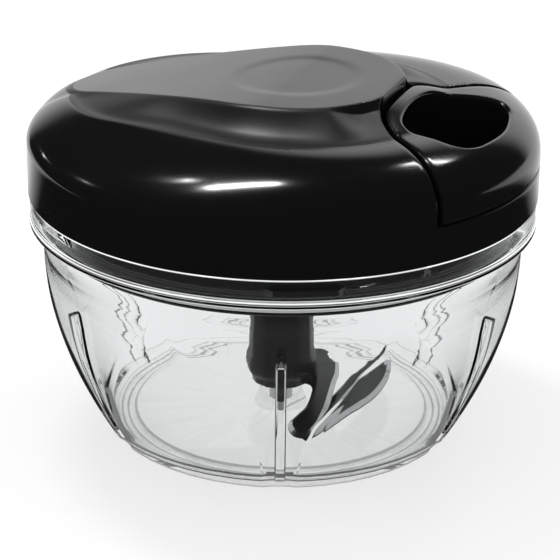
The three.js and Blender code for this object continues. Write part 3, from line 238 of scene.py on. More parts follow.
class FinishSettings(bpy.types.PropertyGroup):
    """Colours of the finishes"""

    clear: colour("Clear plastic", "Tint of the bowl", (0.972, 0.985, 0.985))
    black: colour("Gloss black", "Colour of the lid and handle", (0.004, 0.004, 0.0045))
    satin: colour("Satin black", "Colour of the plateau and the spring cup", (0.007, 0.007, 0.0075))
    hub: colour("Hub black", "Colour of the blade hub", (0.009, 0.009, 0.01))
    steel: colour("Polished steel", "Colour of the ground edges and the pin", (0.62, 0.625, 0.63))
    coated: colour("Coated steel", "Colour of the blades' flats", (0.035, 0.036, 0.038))
    spring: colour("Spring steel", "Colour of the spring and shaft", (0.36, 0.37, 0.38))
    nylon: colour("Nylon", "Colour of the reel and bushes", (0.72, 0.71, 0.67))
    silicone: colour("Silicone", "Colour of the seal", (0.5, 0.51, 0.51))
    cord: colour("Cord", "Colour of the braided cord", (0.02, 0.02, 0.021))


class StudioSettings(bpy.types.PropertyGroup):
    """Camera, floor and lights"""

    lens: FloatProperty(name="Lens", description="Focal length of the camera", default=152.5,
                        unit="CAMERA")
    distance: length("Distance", "Distance from the camera to the object's middle", 0.6)
    aim_height: length("Aim height", "Height that the camera turns about", 0.045)
    azimuth: turn("Azimuth", "Angle of the camera round the object", 20)
    elevation: turn("Elevation", "Angle of the camera above the table", 21.78)
    floor: colour("Floor", "Colour of the table", (0.93, 0.93, 0.935))
    key: FloatProperty(name="Key power", description="Power of the large soft light in watts",
                       default=1.6, unit="POWER")


def settings():
    return bpy.context.scene.chopper_sizes


def mm(value):
    """A size from the panel, in millimetres."""
    return value * 1000.0


# Small helpers


def mix(a, b, share):
    return a + (b - a) * share


def ease(share):
    share = min(max(share, 0.0), 1.0)
    return share * share * (3 - 2 * share)


def soft_max(first, second, softness):
    """The larger of two values, with a smooth change from one to the other."""
    gap = first - second
    return (first + second + math.sqrt(gap * gap + softness)) / 2


def table_value(places, values, place):
    for i in range(1, len(places)):
        if place <= places[i]:
            share = (place - places[i - 1]) / (places[i] - places[i - 1])
            return mix(values[i - 1], values[i], min(max(share, 0.0), 1.0))
    return values[-1]


def spread(start, end, count):
    """Evenly spaced values from just after start up to end."""
    return [mix(start, end, (i + 1) / count) for i in range(count)]


def polar(radius, plan):
    return radius * math.cos(plan), radius * math.sin(plan)


def plan_reach(place):
    return Vector((place.x, place.y)).length


def widened(vert, share):
    vert.co.x *= share
    vert.co.y *= share


def soft_line(corners, steps=3):
    """An outline from (point, softness) corners, each soft corner turned into a short curve."""
    points = [Vector(corners[0][0])]
    for i in range(1, len(corners) - 1):
        before, here, after = (Vector(corners[k][0]) for k in (i - 1, i, i + 1))
        soft = corners[i][1]
        if soft <= 0:
            points.append(here)
            continue
        start = here.lerp(before, min(soft / max((before - here).length, 1e-6), 0.45))
        end = here.lerp(after, min(soft / max((after - here).length, 1e-6), 0.45))
        for k in range(steps + 1):
            t = k / steps
            points.append(start.lerp(here, t).lerp(here.lerp(end, t), t))
    points.append(Vector(corners[-1][0]))
    return points


def soft_ring(corners, steps=3):
    """A closed outline from (point, softness) corners."""
    middle = (Vector(corners[0][0]) + Vector(corners[-1][0])) / 2
    return soft_line([(middle, 0), *corners, (middle, 0)], steps)[:-1]


# Mesh helpers


def spun(profile, steps, closed=False):
    """A profile of (radius, height) points turned once round Z. Each vert keeps its point's row."""
    bm = bmesh.new()
    row = bm.verts.layers.int.new("row")
    verts = []
    for i, point in enumerate(profile):
        vert = bm.verts.new((point[0], 0.0, point[1]))
        vert[row] = i
        verts.append(vert)
    edges = [bm.edges.new(pair) for pair in zip(verts, verts[1:])]
    if closed:
        edges.append(bm.edges.new((verts[-1], verts[0])))
    bmesh.ops.spin(bm, geom=verts + edges, cent=(0, 0, 0), axis=(0, 0, 1), angle=2 * math.pi,
                   steps=steps, use_merge=True)
    bmesh.ops.remove_doubles(bm, verts=bm.verts, dist=1e-4)
    return bm


def spun_ring(corners, sides, steps=2):
    """A closed, softened outline turned once round Z."""
    return spun(soft_ring(corners, steps), sides, closed=True)


def joined(bm, other):
    """Adds another bmesh to this one."""
    mesh = bpy.data.meshes.new("joined")
    other.to_mesh(mesh)
    other.free()
    bm.from_mesh(mesh)
    bpy.data.meshes.remove(mesh)


def plain_object(bm, name):
    mesh = bpy.data.meshes.new(name)
    bm.to_mesh(mesh)
    bm.free()
    obj = bpy.data.objects.new(name, mesh)
    bpy.context.scene.collection.objects.link(obj)
    return obj


def removed(obj):
    mesh = obj.data
    bpy.data.objects.remove(obj)
    bpy.data.meshes.remove(mesh)


def shaped(body):
    """The evaluated form of an object as a bmesh; the object itself is removed."""
    bpy.context.view_layer.update()
    shape = body.evaluated_get(bpy.context.evaluated_depsgraph_get())
    result = bmesh.new()
    result.from_mesh(shape.to_mesh())
    shape.to_mesh_clear()
    removed(body)
    if not result.faces:
        raise RuntimeError("a modifier left nothing")
    return result


def thickened(bm, wall):
    """Gives an open skin its wall on the inner side."""
    body = plain_object(bm, "thick_body")
    modifier = body.modifiers.new("wall", "SOLIDIFY")
    modifier.thickness = wall
    modifier.offset = -1.0
    modifier.use_even_offset = False
    return shaped(body)


def cut_away(bm, cutter):
    """Takes one closed form out of another and returns what is left."""
    bmesh.ops.recalc_face_normals(bm, faces=bm.faces)
    bmesh.ops.recalc_face_normals(cutter, faces=cutter.faces)
    body = plain_object(bm, "cut_body")
    tool = plain_object(cutter, "cut_tool")
    modifier = body.modifiers.new("cut", "BOOLEAN")
    modifier.operation = "DIFFERENCE"
    modifier.solver = "EXACT"
    modifier.object = tool
    result = shaped(body)
    removed(tool)
    return result


def edge_verts(edges):
    return list(dict.fromkeys(vert for edge in edges for vert in edge.verts))


def extrude_rim(bm, edges):
    """Extrudes open edges in place and returns the new ones."""
    made = bmesh.ops.extrude_edge_only(bm, edges=edges)["geom"]
    fresh = {item for item in made if isinstance(item, bmesh.types.BMVert)}
    return [item for item in made if isinstance(item, bmesh.types.BMEdge)
            and item.verts[0] in fresh and item.verts[1] in fresh]


def boundary_edges(bm):
    return [edge for edge in bm.edges if edge.is_boundary]


def edge_top(edge):
    return max(vert.co.z for vert in edge.verts)


def outward(bm):
    """Turns the faces of an open skin so that most of them look up."""
    if sum(face.normal.z * face.calc_area() for face in bm.faces) < 0:
        bmesh.ops.reverse_faces(bm, faces=bm.faces)


def rod(radius, start, end, sides=24):
    """A closed round rod between two points."""
    bm = bmesh.new()
    start, end = Vector(start), Vector(end)
    axis = end - start
    bmesh.ops.create_cone(bm, cap_ends=True, segments=sides, radius1=radius, radius2=radius,
                          depth=axis.length)
    turned = axis.to_track_quat("Z", "Y").to_matrix().to_4x4()
    bmesh.ops.transform(bm, matrix=Matrix.Translation((start + end) / 2) @ turned, verts=bm.verts)
    return bm


def cord_bore(radius, start, end, sides):
    """A rod along the cord's line, to cut a way for the cord."""
    return rod(radius, (start, 0, CORD_HEIGHT), (end, 0, CORD_HEIGHT), sides)


def swept(path, radius, sides=12):
    """A round tube along a path, its ends closed with a small dome."""
    bm = bmesh.new()
    ring = bmesh.ops.create_circle(bm, cap_ends=False, segments=sides, radius=1.0)["verts"]
    frames = []
    side = None
    for i, point in enumerate(path):
        ahead = path[min(i + 1, len(path) - 1)] - path[max(i - 1, 0)]
        ahead.normalize()
        if side is None:
            side = ahead.orthogonal()
        side = (side - ahead * side.dot(ahead)).normalized()
        turned = Matrix((side, ahead.cross(side), ahead)).transposed().to_4x4()
        frames.append((turned, point, ahead))
    domes = [(share * radius, radius * math.sqrt(1 - share * share)) for share in (0.9, 0.5)]
    stations = [(frames[0], -along, reach) for along, reach in domes]
    stations += [(station, 0.0, radius) for station in frames]
    stations += [(frames[-1], along, reach) for along, reach in reversed(domes)]
    places = [Matrix.Translation(point + ahead * along) @ turned @ Matrix.Diagonal((r, r, 1, 1))
              for (turned, point, ahead), along, r in stations]
    bmesh.ops.transform(bm, matrix=places[0], verts=ring)
    start_edges = list(bm.edges)
    edges = start_edges
    for before, after in zip(places, places[1:]):
        edges = extrude_rim(bm, edges)
        bmesh.ops.transform(bm, matrix=after @ before.inverted(), verts=edge_verts(edges))
    bmesh.ops.edgeloop_fill(bm, edges=start_edges)
    bmesh.ops.edgeloop_fill(bm, edges=edges)
    return bm


def piece(bm, name, finishes, body, nodes, angle=30):
    """Makes the object of a finished form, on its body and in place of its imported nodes."""
    bmesh.ops.recalc_face_normals(bm, faces=bm.faces)
    bmesh.ops.scale(bm, vec=(0.001, 0.001, 0.001), verts=bm.verts)
    obj = plain_object(bm, name)
    for finish in finishes:
        obj.data.materials.append(finish)
    obj.data.shade_smooth()
    obj.data.set_sharp_from_angle(angle=math.radians(angle))
    if body:
        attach(obj, body)
    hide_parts(*nodes)
    return obj


# Finishes

SKIN_INPUTS = ("Wave Scale", "Grain Scale", "Grain Share", "Smooth", "Smudged", "Dust")
METAL_INPUTS = ("Lines", "Smooth", "Rough", "Tone")

# Painted lines on the clear bowl in metres: radii of the painted shade rings on the floor, and heights at
# the foot (painted shade) and the collar (painted glow)
FLOOR_RINGS = ((0.0373, 0.0379), (0.0394, 0.04), (0.0412, 0.0418))
FLOOR_RING_TOP = (0.0046, 0.0052)
FOOT_LINE = (0.0028, 0.0031)
RIM_LINES = ((0.0553, 0.0555), (0.0566, 0.0569), (0.06215, 0.0625))
# Colour of the painted shade rings and line at the foot; the dust specks take it too
PAINTED_SHADE_AND_DUST_TONE = (0.33, 0.34, 0.345)
# Colour of the painted glow along the collar's rim lines
PAINTED_RIM_GLOW = (0.8, 0.81, 0.815)


def add_node(tree, kind, **values):
    """A node with its inputs set by name."""
    item = tree.nodes.new(kind)
    for name, value in values.items():
        item.inputs[name.replace("_", " ")].default_value = value
    return item


def feed(tree, socket, value):
    """Links an output to a socket, or sets the socket to a number."""
    if isinstance(value, (int, float)):
        socket.default_value = value
    else:
        tree.links.new(value, socket)


def map_range(tree, source, low, high, to_low, to_high):
    item = add_node(tree, "ShaderNodeMapRange", From_Min=low, From_Max=high, To_Min=to_low,
                    To_Max=to_high)
    tree.links.new(source, item.inputs["Value"])
    return item.outputs["Result"]


def math_node(tree, operation, first, second):
    item = tree.nodes.new("ShaderNodeMath")
    item.operation = operation
    feed(tree, item.inputs[0], first)
    feed(tree, item.inputs[1], second)
    return item.outputs["Value"]


def switched(tree, factor, first, second):
    """The first value where the factor is 0 and the second where it is 1."""
    item = tree.nodes.new("ShaderNodeMix")
    tree.links.new(factor, item.inputs[0])
    feed(tree, item.inputs[2], first)
    feed(tree, item.inputs[3], second)
    return item.outputs[0]


def split_place(tree, vector):
    parts = tree.nodes.new("ShaderNodeSeparateXYZ")
    tree.links.new(vector, parts.inputs["Vector"])
    return parts.outputs


def length_of(tree, vector):
    reach = tree.nodes.new("ShaderNodeVectorMath")
    reach.operation = "LENGTH"
    tree.links.new(vector, reach.inputs[0])
    return reach.outputs["Value"]


def between(tree, value, limits, edge):
    """1 between two limits and 0 outside them, with narrow ramps."""
    low, high = limits
    rise = map_range(tree, value, low - edge, low + edge, 0.0, 1.0)
    fall = map_range(tree, value, high - edge, high + edge, 1.0, 0.0)
    return math_node(tree, "MULTIPLY", rise, fall)


def any_line(tree, value, lines, edge):
    """Mask of a value that lies in one of several narrow lines."""
    mask = between(tree, value, lines[0], edge)
    for limits in lines[1:]:
        mask = math_node(tree, "MAXIMUM", mask, between(tree, value, limits, edge))
    return mask


def two_shaders(tree, share, first, second):
    """Shows the second shader by a share and the first by the rest."""
    both = tree.nodes.new("ShaderNodeMixShader")
    tree.links.new(share, both.inputs["Fac"])
    tree.links.new(first, both.inputs[1])
    tree.links.new(second, both.inputs[2])
    tree.links.new(both.outputs["Shader"], tree.nodes["Material Output"].inputs["Surface"])


def group_node(tree, group, coords, values):
    """A node group that reads the coordinates, with its inputs set by name."""
    item = tree.nodes.new("ShaderNodeGroup")
    item.node_tree = group
    tree.links.new(coords, item.inputs["Vector"])
    for label, value in values:
        item.inputs[label].default_value = value
    return item.outputs


def new_group(name, inputs, outputs):
    """An empty node group with its named sockets, and its two end nodes."""
    group = bpy.data.node_groups.new(name, "ShaderNodeTree")
    group.interface.new_socket("Vector", in_out="INPUT", socket_type="NodeSocketVector")
    for label, value in inputs:
        socket = group.interface.new_socket(label, in_out="INPUT", socket_type="NodeSocketFloat")
        socket.default_value = value
    for label in outputs:
        group.interface.new_socket(label, in_out="OUTPUT", socket_type="NodeSocketFloat")
    return group, group.nodes.new("NodeGroupInput"), group.nodes.new("NodeGroupOutput")


def moulded_skin():
    """Faint waviness of a moulded surface, handling smudges and a little dust."""
    name = "Moulded Skin"
    if name in bpy.data.node_groups:
        return bpy.data.node_groups[name]
    group, given, made = new_group(name, zip(SKIN_INPUTS, (90.0, 900.0, 0.2, 0.05, 0.09, 0.1)),
                                   ["Height", "Roughness", "Dust Mask"])
    link = group.links.new
    wave = add_node(group, "ShaderNodeTexNoise", Detail=1.0)
    grain = add_node(group, "ShaderNodeTexNoise", Detail=2.0)
    smudge = add_node(group, "ShaderNodeTexNoise", Scale=38.0, Detail=5.0, Distortion=0.6)
    dust = add_node(group, "ShaderNodeTexVoronoi", Scale=420.0)
    thin = add_node(group, "ShaderNodeTexNoise", Scale=60.0, Detail=2.0)
    for item in (wave, grain, smudge, dust, thin):
        link(given.outputs["Vector"], item.inputs["Vector"])
    link(given.outputs["Wave Scale"], wave.inputs["Scale"])
    link(given.outputs["Grain Scale"], grain.inputs["Scale"])
    fine = math_node(group, "MULTIPLY", grain.outputs["Fac"], given.outputs["Grain Share"])
    link(math_node(group, "ADD", wave.outputs["Fac"], fine), made.inputs["Height"])
    patches = map_range(group, smudge.outputs["Fac"], 0.42, 0.68, 0.0, 1.0)
    span = math_node(group, "SUBTRACT", given.outputs["Smudged"], given.outputs["Smooth"])
    spanned = math_node(group, "MULTIPLY", patches, span)
    link(math_node(group, "ADD", given.outputs["Smooth"], spanned), made.inputs["Roughness"])
    specks = map_range(group, dust.outputs["Distance"], 0.06, 0.12, 1.0, 0.0)
    rare = map_range(group, thin.outputs["Fac"], 0.6, 0.72, 0.0, 1.0)
    rare_specks = math_node(group, "MULTIPLY", specks, rare)
    link(math_node(group, "MULTIPLY", rare_specks, given.outputs["Dust"]), made.inputs["Dust Mask"])
    return group


def drawn_metal():
    """Fine lines along one direction, as left by rolling and polishing."""
    name = "Drawn Metal"
    if name in bpy.data.node_groups:
        return bpy.data.node_groups[name]
    group, given, made = new_group(name, zip(METAL_INPUTS, (900.0, 0.1, 0.2, 0.1)),
                                   ["Height", "Roughness", "Tone Mask"])
    link = group.links.new
    stretch = add_node(group, "ShaderNodeMapping", Scale=(0.04, 1.0, 0.4))
    lines = add_node(group, "ShaderNodeTexNoise", Detail=3.0)
    cloud = add_node(group, "ShaderNodeTexNoise", Scale=55.0, Detail=4.0)
    link(given.outputs["Vector"], stretch.inputs["Vector"])
    link(stretch.outputs["Vector"], lines.inputs["Vector"])
    link(given.outputs["Vector"], cloud.inputs["Vector"])
    link(given.outputs["Lines"], lines.inputs["Scale"])
    link(lines.outputs["Fac"], made.inputs["Height"])
    span = math_node(group, "SUBTRACT", given.outputs["Rough"], given.outputs["Smooth"])
    both = math_node(group, "MULTIPLY", lines.outputs["Fac"], cloud.outputs["Fac"])
    spanned = math_node(group, "MULTIPLY", math_node(group, "MULTIPLY", both, 2.6), span)
    link(math_node(group, "ADD", given.outputs["Smooth"], spanned), made.inputs["Roughness"])
    link(math_node(group, "MULTIPLY", cloud.outputs["Fac"], given.outputs["Tone"]),
         made.inputs["Tone Mask"])
    return group


def new_finish(name, colour_value):
    """A material with its shader, coordinates and base colour."""
    finish = bpy.data.materials.new(name)
    finish.use_nodes = True
    finish.diffuse_color = (*colour_value, 1.0)
    tree = finish.node_tree
    shader = tree.nodes["Principled BSDF"]
    shader.inputs["Base Color"].default_value = (*colour_value, 1.0)
    coords = tree.nodes.new("ShaderNodeTexCoord")
    return finish, tree, shader, coords.outputs["Object"]


def bumped(tree, shader, height, strength, distance):
    bump = add_node(tree, "ShaderNodeBump", Strength=strength, Distance=distance)
    tree.links.new(height, bump.inputs["Height"])
    tree.links.new(bump.outputs["Normal"], shader.inputs["Normal"])


def toned(tree, socket, mask, base, other):
    """A colour that turns towards another colour by a mask."""
    blend = tree.nodes.new("ShaderNodeMix")
    blend.data_type = "RGBA"
    blend.inputs["A"].default_value = (*base, 1.0)
    blend.inputs["B"].default_value = (*other, 1.0)
    tree.links.new(mask, blend.inputs["Factor"])
    tree.links.new(blend.outputs["Result"], socket)


def plastic(name, base, skin, bump, dust_tone=(0.3, 0.3, 0.3)):
    """A moulded plastic: base colour with dust, smudged roughness and a faint wave."""
    if name in bpy.data.materials:
        return bpy.data.materials[name]
    finish, tree, shader, coords = new_finish(name, base)
    made = group_node(tree, moulded_skin(), coords, zip(SKIN_INPUTS, skin))
    tree.links.new(made["Roughness"], shader.inputs["Roughness"])
    toned(tree, shader.inputs["Base Color"], made["Dust Mask"], base, dust_tone)
    bumped(tree, shader, made["Height"], *bump)
    return finish


def gloss_black():
    finish = plastic("Gloss Black", settings().finish.black, (55.0, 1400.0, 0.03, 0.12, 0.15, 0.06),
                     (0.1, 0.0004))
    finish.node_tree.nodes["Principled BSDF"].inputs["IOR"].default_value = 1.52
    return finish


def sheen_black():
    """The band between the lid's crease and its plateau, less polished than the wall."""
    return plastic("Sheen Black", settings().finish.black, (60.0, 1800.0, 0.3, 0.36, 0.4, 0.06),
                   (0.1, 0.0003))


def satin_black():
    return plastic("Satin Black", settings().finish.satin, (70.0, 2400.0, 0.5, 0.17, 0.22, 0.1),
                   (0.16, 0.0002))


def hub_black():
    return plastic("Hub Black", settings().finish.hub, (140.0, 1800.0, 0.3, 0.2, 0.3, 0.15),
                   (0.2, 0.0002))


def white_nylon():
    return plastic("White Nylon", settings().finish.nylon, (160.0, 1500.0, 0.4, 0.38, 0.5, 0.3),
                   (0.3, 0.0002), (0.5, 0.48, 0.42))


def grey_silicone():
    return plastic("Grey Silicone", settings().finish.silicone,
                   (220.0, 2600.0, 0.8, 0.5, 0.62, 0.3), (0.3, 0.0002))


def painted_shade_lines(tree, coords, height):
    """Mask of painted shade: thin dark rings at the bowl's foot, standing in for the light that its rounded
    corners bend away.
    """
    flat = add_node(tree, "ShaderNodeMapping", Scale=(1.0, 1.0, 0.0))
    tree.links.new(coords, flat.inputs["Vector"])
    rings = any_line(tree, length_of(tree, flat.outputs["Vector"]), FLOOR_RINGS, 0.00012)
    low = map_range(tree, height, *FLOOR_RING_TOP, 1.0, 0.0)
    foot = math_node(tree, "MULTIPLY", between(tree, height, FOOT_LINE, 0.0001), 0.6)
    return math_node(tree, "MAXIMUM", math_node(tree, "MULTIPLY", rings, low), foot)


def clear_plastic():
    """Clear polished plastic that lets most light through to the table under it.

    Thin lines round its collar glow a little: a painted glow standing in for the light its narrow edges
    gather.
    """
    name, tint = "Clear Plastic", settings().finish.clear
    if name in bpy.data.materials:
        return bpy.data.materials[name]
    finish, tree, shader, coords = new_finish(name, tint)
    shader.inputs["Transmission Weight"].default_value = 1.0
    shader.inputs["IOR"].default_value = 1.5
    # The emission is a painted glow along the collar's rim lines
    shader.inputs["Emission Strength"].default_value = 1.0
    made = group_node(tree, moulded_skin(), coords,
                      zip(SKIN_INPUTS, (60.0, 1500.0, 0.02, 0.0, 0.02, 0.1)))
    tree.links.new(made["Roughness"], shader.inputs["Roughness"])
    height = split_place(tree, coords)["Z"]
    dust = math_node(tree, "MULTIPLY", made["Dust Mask"], 0.3)
    # Painted shade at the foot, mixed with real dust specks, turns the tint towards dark grey
    dust_and_painted_shade = math_node(tree, "MAXIMUM", painted_shade_lines(tree, coords, height), dust)
    toned(tree, shader.inputs["Base Color"], dust_and_painted_shade, tint, PAINTED_SHADE_AND_DUST_TONE)
    bumped(tree, shader, made["Height"], 0.05, 0.0005)
    # Painted glow: emission along thin lines round the collar
    toned(tree, shader.inputs["Emission Color"], any_line(tree, height, RIM_LINES, 0.0001),
          (0.0, 0.0, 0.0), PAINTED_RIM_GLOW)
    rays = tree.nodes.new("ShaderNodeLightPath").outputs
    through = add_node(tree, "ShaderNodeBsdfTransparent", Color=(0.95, 0.955, 0.955, 1.0))
    unbent = math_node(tree, "MAXIMUM", rays["Is Shadow Ray"], rays["Is Diffuse Ray"])
    two_shaders(tree, unbent, shader.outputs["BSDF"], through.outputs["BSDF"])
    return finish


def metal(name, base, lines, smooth, rough, bump):
    """A metal with drawn lines in its roughness and its tone."""
    if name in bpy.data.materials:
        return bpy.data.materials[name]
    finish, tree, shader, coords = new_finish(name, base)
    shader.inputs["Metallic"].default_value = 1.0
    made = group_node(tree, drawn_metal(), coords, zip(METAL_INPUTS, (lines, smooth, rough, 0.5)))
    tree.links.new(made["Roughness"], shader.inputs["Roughness"])
    toned(tree, shader.inputs["Base Color"], made["Tone Mask"], base, [part * 0.7 for part in base])
    bumped(tree, shader, made["Height"], *bump)
    return finish


def polished_steel():
    return metal("Polished Steel", settings().finish.steel, 1500.0, 0.05, 0.16, (0.06, 0.0001))


def coated_steel():
    return metal("Coated Steel", settings().finish.coated, 1300.0, 0.1, 0.24, (0.08, 0.0001))


def spring_steel():
    return metal("Spring Steel", settings().finish.spring, 700.0, 0.22, 0.4, (0.2, 0.0001))


def braided_cord():
    """A braided cord: two families of slanting strands that cross, with painted shade in the gaps and a
    painted sheen on the crests.
    """
    name, base = "Braided Cord", settings().finish.cord
    if name in bpy.data.materials:
        return bpy.data.materials[name]
    finish, tree, shader, coords = new_finish(name, base)
    strands = []
    for degrees in (38, -38):
        lay = add_node(tree, "ShaderNodeMapping", Rotation=(0.0, math.radians(degrees), 0.0))
        wave = add_node(tree, "ShaderNodeTexWave", Scale=650.0, Distortion=0.5, Detail=1.0)
        tree.links.new(coords, lay.inputs["Vector"])
        tree.links.new(lay.outputs["Vector"], wave.inputs["Vector"])
        strands.append(wave.outputs["Fac"])
    weave = math_node(tree, "MAXIMUM", *strands)
    # The colour follows the weave's height: painted shade in the gaps between strands and a painted sheen on
    # their crests
    toned(tree, shader.inputs["Base Color"], weave, [part * 0.4 for part in base],
          [min(part * 2.2, 1.0) for part in base])
    tree.links.new(map_range(tree, weave, 0.0, 1.0, 0.9, 0.62), shader.inputs["Roughness"])
    bumped(tree, shader, weave, 0.7, 0.0003)
    return finish


# Bowl


def bowl_radius(z):
    sizes = settings().bowl
    share = z / WALL_HEIGHT
    rise = BULGE * share + (1 - BULGE) * share * share
    return mix(mm(sizes.base_radius), mm(sizes.mouth_radius), rise)


def flute_columns(z):
    """Plan offsets of one flute's columns at a height, with their place on the flute and rib."""
    radius = bowl_radius(z)
    half = math.radians(table_value(FLUTE_HEIGHTS, FLUTE_HALF_ANGLES, z / WALL_HEIGHT))
    edge = math.pi / FLUTES
    rib = mm(settings().bowl.rib_width) / 2
    end = min(max((z - RIB_TOP + rib) / rib, 0.0), 0.995)
    narrow = rib * math.sqrt(1 - end * end) + 0.05
    side = [(share * narrow / radius, height) for share, height in RIB_SECTION]
    foot = side[-1][0]
    side += [(mix(foot, half, share), 0.0) for share in FLUTE_SHARES]
    side += [(mix(half, edge, share), 0.0) for share in WALL_SHARES]
    mirrored = [(-angle, height) for angle, height in reversed(side)]
    return half, [(-edge, 0.0), *mirrored, (0.0, 1.0), *side]


def rib_share(z):
    """How far the rib stands proud at a height: none below or above it, soft at both ends."""
    return ease((z - RIB_BOTTOM) / 0.7) * ease((RIB_TOP - z) / 0.5)


def bowl_profile():
    """Rows of the bowl from the middle of its underside up its outside and down its inside.

    Each row is (kind, radius or inset, height); a wall row follows the flutes.
    """
    sizes = settings().bowl
    wall, floor = mm(sizes.wall), mm(sizes.floor)
    collar, bore = mm(sizes.collar_radius), mm(sizes.collar_bore)
    rows = [("round", 0.0, 0.0), ("round", 20.0, 0.0), ("round", 40.5, 0.0)]
    rows += [("out", 1.3, 0.0), ("out", 0.72, 0.06), ("out", 0.25, 0.3)]
    heights = [0.8, 1.4, 2.0, RIB_BOTTOM, 2.95, 3.2, 3.5, 4.0]
    heights += spread(4.0, 37.2, 28) + [37.9, 38.3, 38.6, 38.85, 39.05, 39.2, 39.35, RIB_TOP]
    heights += spread(RIB_TOP, 53.8, 12)
    rows += [("out", 0.0, z) for z in heights]
    mouth = mm(sizes.mouth_radius)
    collar_line = soft_line([
        ((mouth, 54.3), 0), ((mouth + 0.05, 54.75), 0.35), ((collar - 0.9, 55.05), 0.3),
        ((collar - 0.1, 55.35), 0.25), ((collar, 56.75), 0.3), ((collar - 0.5, 57.1), 0.2),
        ((collar - 0.4, 59.0), 0), ((collar - 0.3, COLLAR_TOP), 0.25),
        ((bore, COLLAR_TOP), 0.3), ((bore, 61.65), 0.05), ((bore, 61.45), 0.05),
        ((bore, 59.75), 0.05), ((bore, 59.55), 0.05), ((bore, WALL_HEIGHT + 1.2), 0.4),
        ((mouth - wall, WALL_HEIGHT), 0.5), ((mouth - wall - 0.1, 54.0), 0),
    ])
    rows += [("round", x, z) for x, z in collar_line]
    rows += [("in", wall, z) for z in spread(53.6, 5.0, 33)]
    floor_line = soft_line([
        ((42.95, 4.1), 0), ((42.6, 2.75), 0.5), ((41.4, floor - 0.8), 0.9),
        ((38.2, floor - 0.8), 0.4), ((37.5, floor), 0.4), ((22.0, floor), 0), ((6.4, floor), 0.5),
        ((4.6, 8.6), 0.4), ((1.95, 8.6), 0.25), ((1.9, 4.0), 0.05), ((0.0, 4.0), 0),
    ])
    rows += [("round", x, z) for x, z in floor_line]
    return rows


def lug_reach(plan, first, reach):
    """Radial reach of the nearest bayonet lug at a plan angle."""
    away = (math.degrees(plan) - first + 45) % 90 - 45
    return reach * ease((LUG_ARC / 2 + 0.6 - abs(away)) / 1.2)


def build_bowl():
    """The clear bowl: a spun profile whose wall rows are drawn in along six flutes."""
    sizes = settings().bowl
    rows = bowl_profile()
    columns = len(flute_columns(10.0)[1])
    radii = [radius if kind == "round" else bowl_radius(z) - radius for kind, radius, z in rows]
    bm = spun([(r, row[2]) for r, row in zip(radii, rows)], columns * FLUTES)
    layer = bm.verts.layers.int["row"]
    step = 2 * math.pi / (columns * FLUTES)
    tables = [flute_columns(min(row[2], WALL_HEIGHT)) for row in rows]
    for vert in bm.verts:
        kind, given, z = rows[vert[layer]]
        plan = math.atan2(vert.co.y, vert.co.x) % (2 * math.pi)
        index = round(plan / step) % (columns * FLUTES)
        flute, place = divmod(index, columns)
        half, table = tables[vert[layer]]
        offset, rib = table[place]
        angle = sizes.flute_turn + flute * 2 * math.pi / FLUTES + offset
        r = radii[vert[layer]]
        if kind != "round":
            power = mix(FLUTE_POWER_LOW, FLUTE_POWER_HIGH, ease((z - 14) / 18))
            share = 1 - abs(offset / half) ** power
            soft = (share + math.sqrt(share * share + 0.002)) / 2
            hollow = mm(sizes.flute_depth) * soft * table_value(FLUTE_HEIGHTS, FLUTE_DEPTHS,
                                                                z / WALL_HEIGHT)
            if kind == "out":
                hollow *= 1 - rib * rib_share(z)
            r -= hollow
        elif z > WALL_HEIGHT and abs(r - mm(sizes.collar_bore)) < 0.02 and 59.7 < z < 61.5:
            r -= lug_reach(angle, BOWL_LUG_TURN, BOWL_LUG_REACH)
        vert.co.x, vert.co.y = polar(r, angle)
    return piece(bm, "clear_bowl", [clear_plastic()], "bowl", ["bowl"], angle=38)


def build_pivot_pin():
    """The steel pin that the blade hub turns on."""
    profile = soft_line([
        ((0.0, 4.3), 0), ((1.6, 4.3), 0.1), ((1.6, 25.0), 0.3), ((0.9, 25.9), 0.3),
        ((0.0, 26.0), 0),
    ])
    bm = spun(profile, 40)
    return piece(bm, "pivot_pin_turned", [polished_steel()], "bowl", ["pivot_pin"])


# Lid


def circle_edge(plan, centre_x, radius):
    along, across = polar(centre_x, plan)
    return along + math.sqrt(max(radius * radius - across * across, 0.0))


def teardrop_edge(plan, nose_x, nose, tail_x, tail):
    """Distance from the axis to a teardrop's edge: two circles and the lines that touch both."""
    dx, dy = math.cos(plan), abs(math.sin(plan))
    lean = (nose - tail) / (nose_x - tail_x)
    nx, ny = -lean, math.sqrt(1 - lean * lean)
    slant = nx * dx + ny * dy
    if slant > 0:
        on_line = (nx * nose_x + nose) / slant
        x = on_line * dx
        if x < tail_x + nx * tail:
            return circle_edge(plan, tail_x, tail)
        if x < nose_x + nx * nose:
            return on_line
    return circle_edge(plan, nose_x, nose)


def plateau_edge(plan):
    return teardrop_edge(plan, PLATEAU_X, mm(settings().lid.plateau_radius), PLATEAU_TAIL_X,
                         PLATEAU_TAIL_RADIUS)


def crease_edge(plan):
    """The crease keeps outside the plateau's edge."""
    teardrop = teardrop_edge(plan, CREASE_X, mm(settings().lid.crease_radius), CREASE_TAIL_X,
                             CREASE_TAIL_RADIUS)
    return soft_max(teardrop, plateau_edge(plan) + CREASE_LEDGE, 1.5)


def tail_fall(x):
    """How far the lid's top has fallen at a distance along X: none at the nose, all at the tail."""
    return min(max((PLATEAU_X - x) / PLATEAU_LENGTH, 0.0), 1.0) ** 1.45


def plateau_height(x):
    return LID_TOP - PLATEAU_FALL * tail_fall(x)


def crease_height(plan):
    """The crease's height at a plan angle, a lip below the plateau at least."""
    plateau_z = plateau_height(plateau_edge(plan) * math.cos(plan))
    fall = CREASE_FALL * tail_fall(crease_edge(plan) * math.cos(plan))
    return -soft_max(fall - CREASE_Z, CREASE_LIP - plateau_z, 0.4)


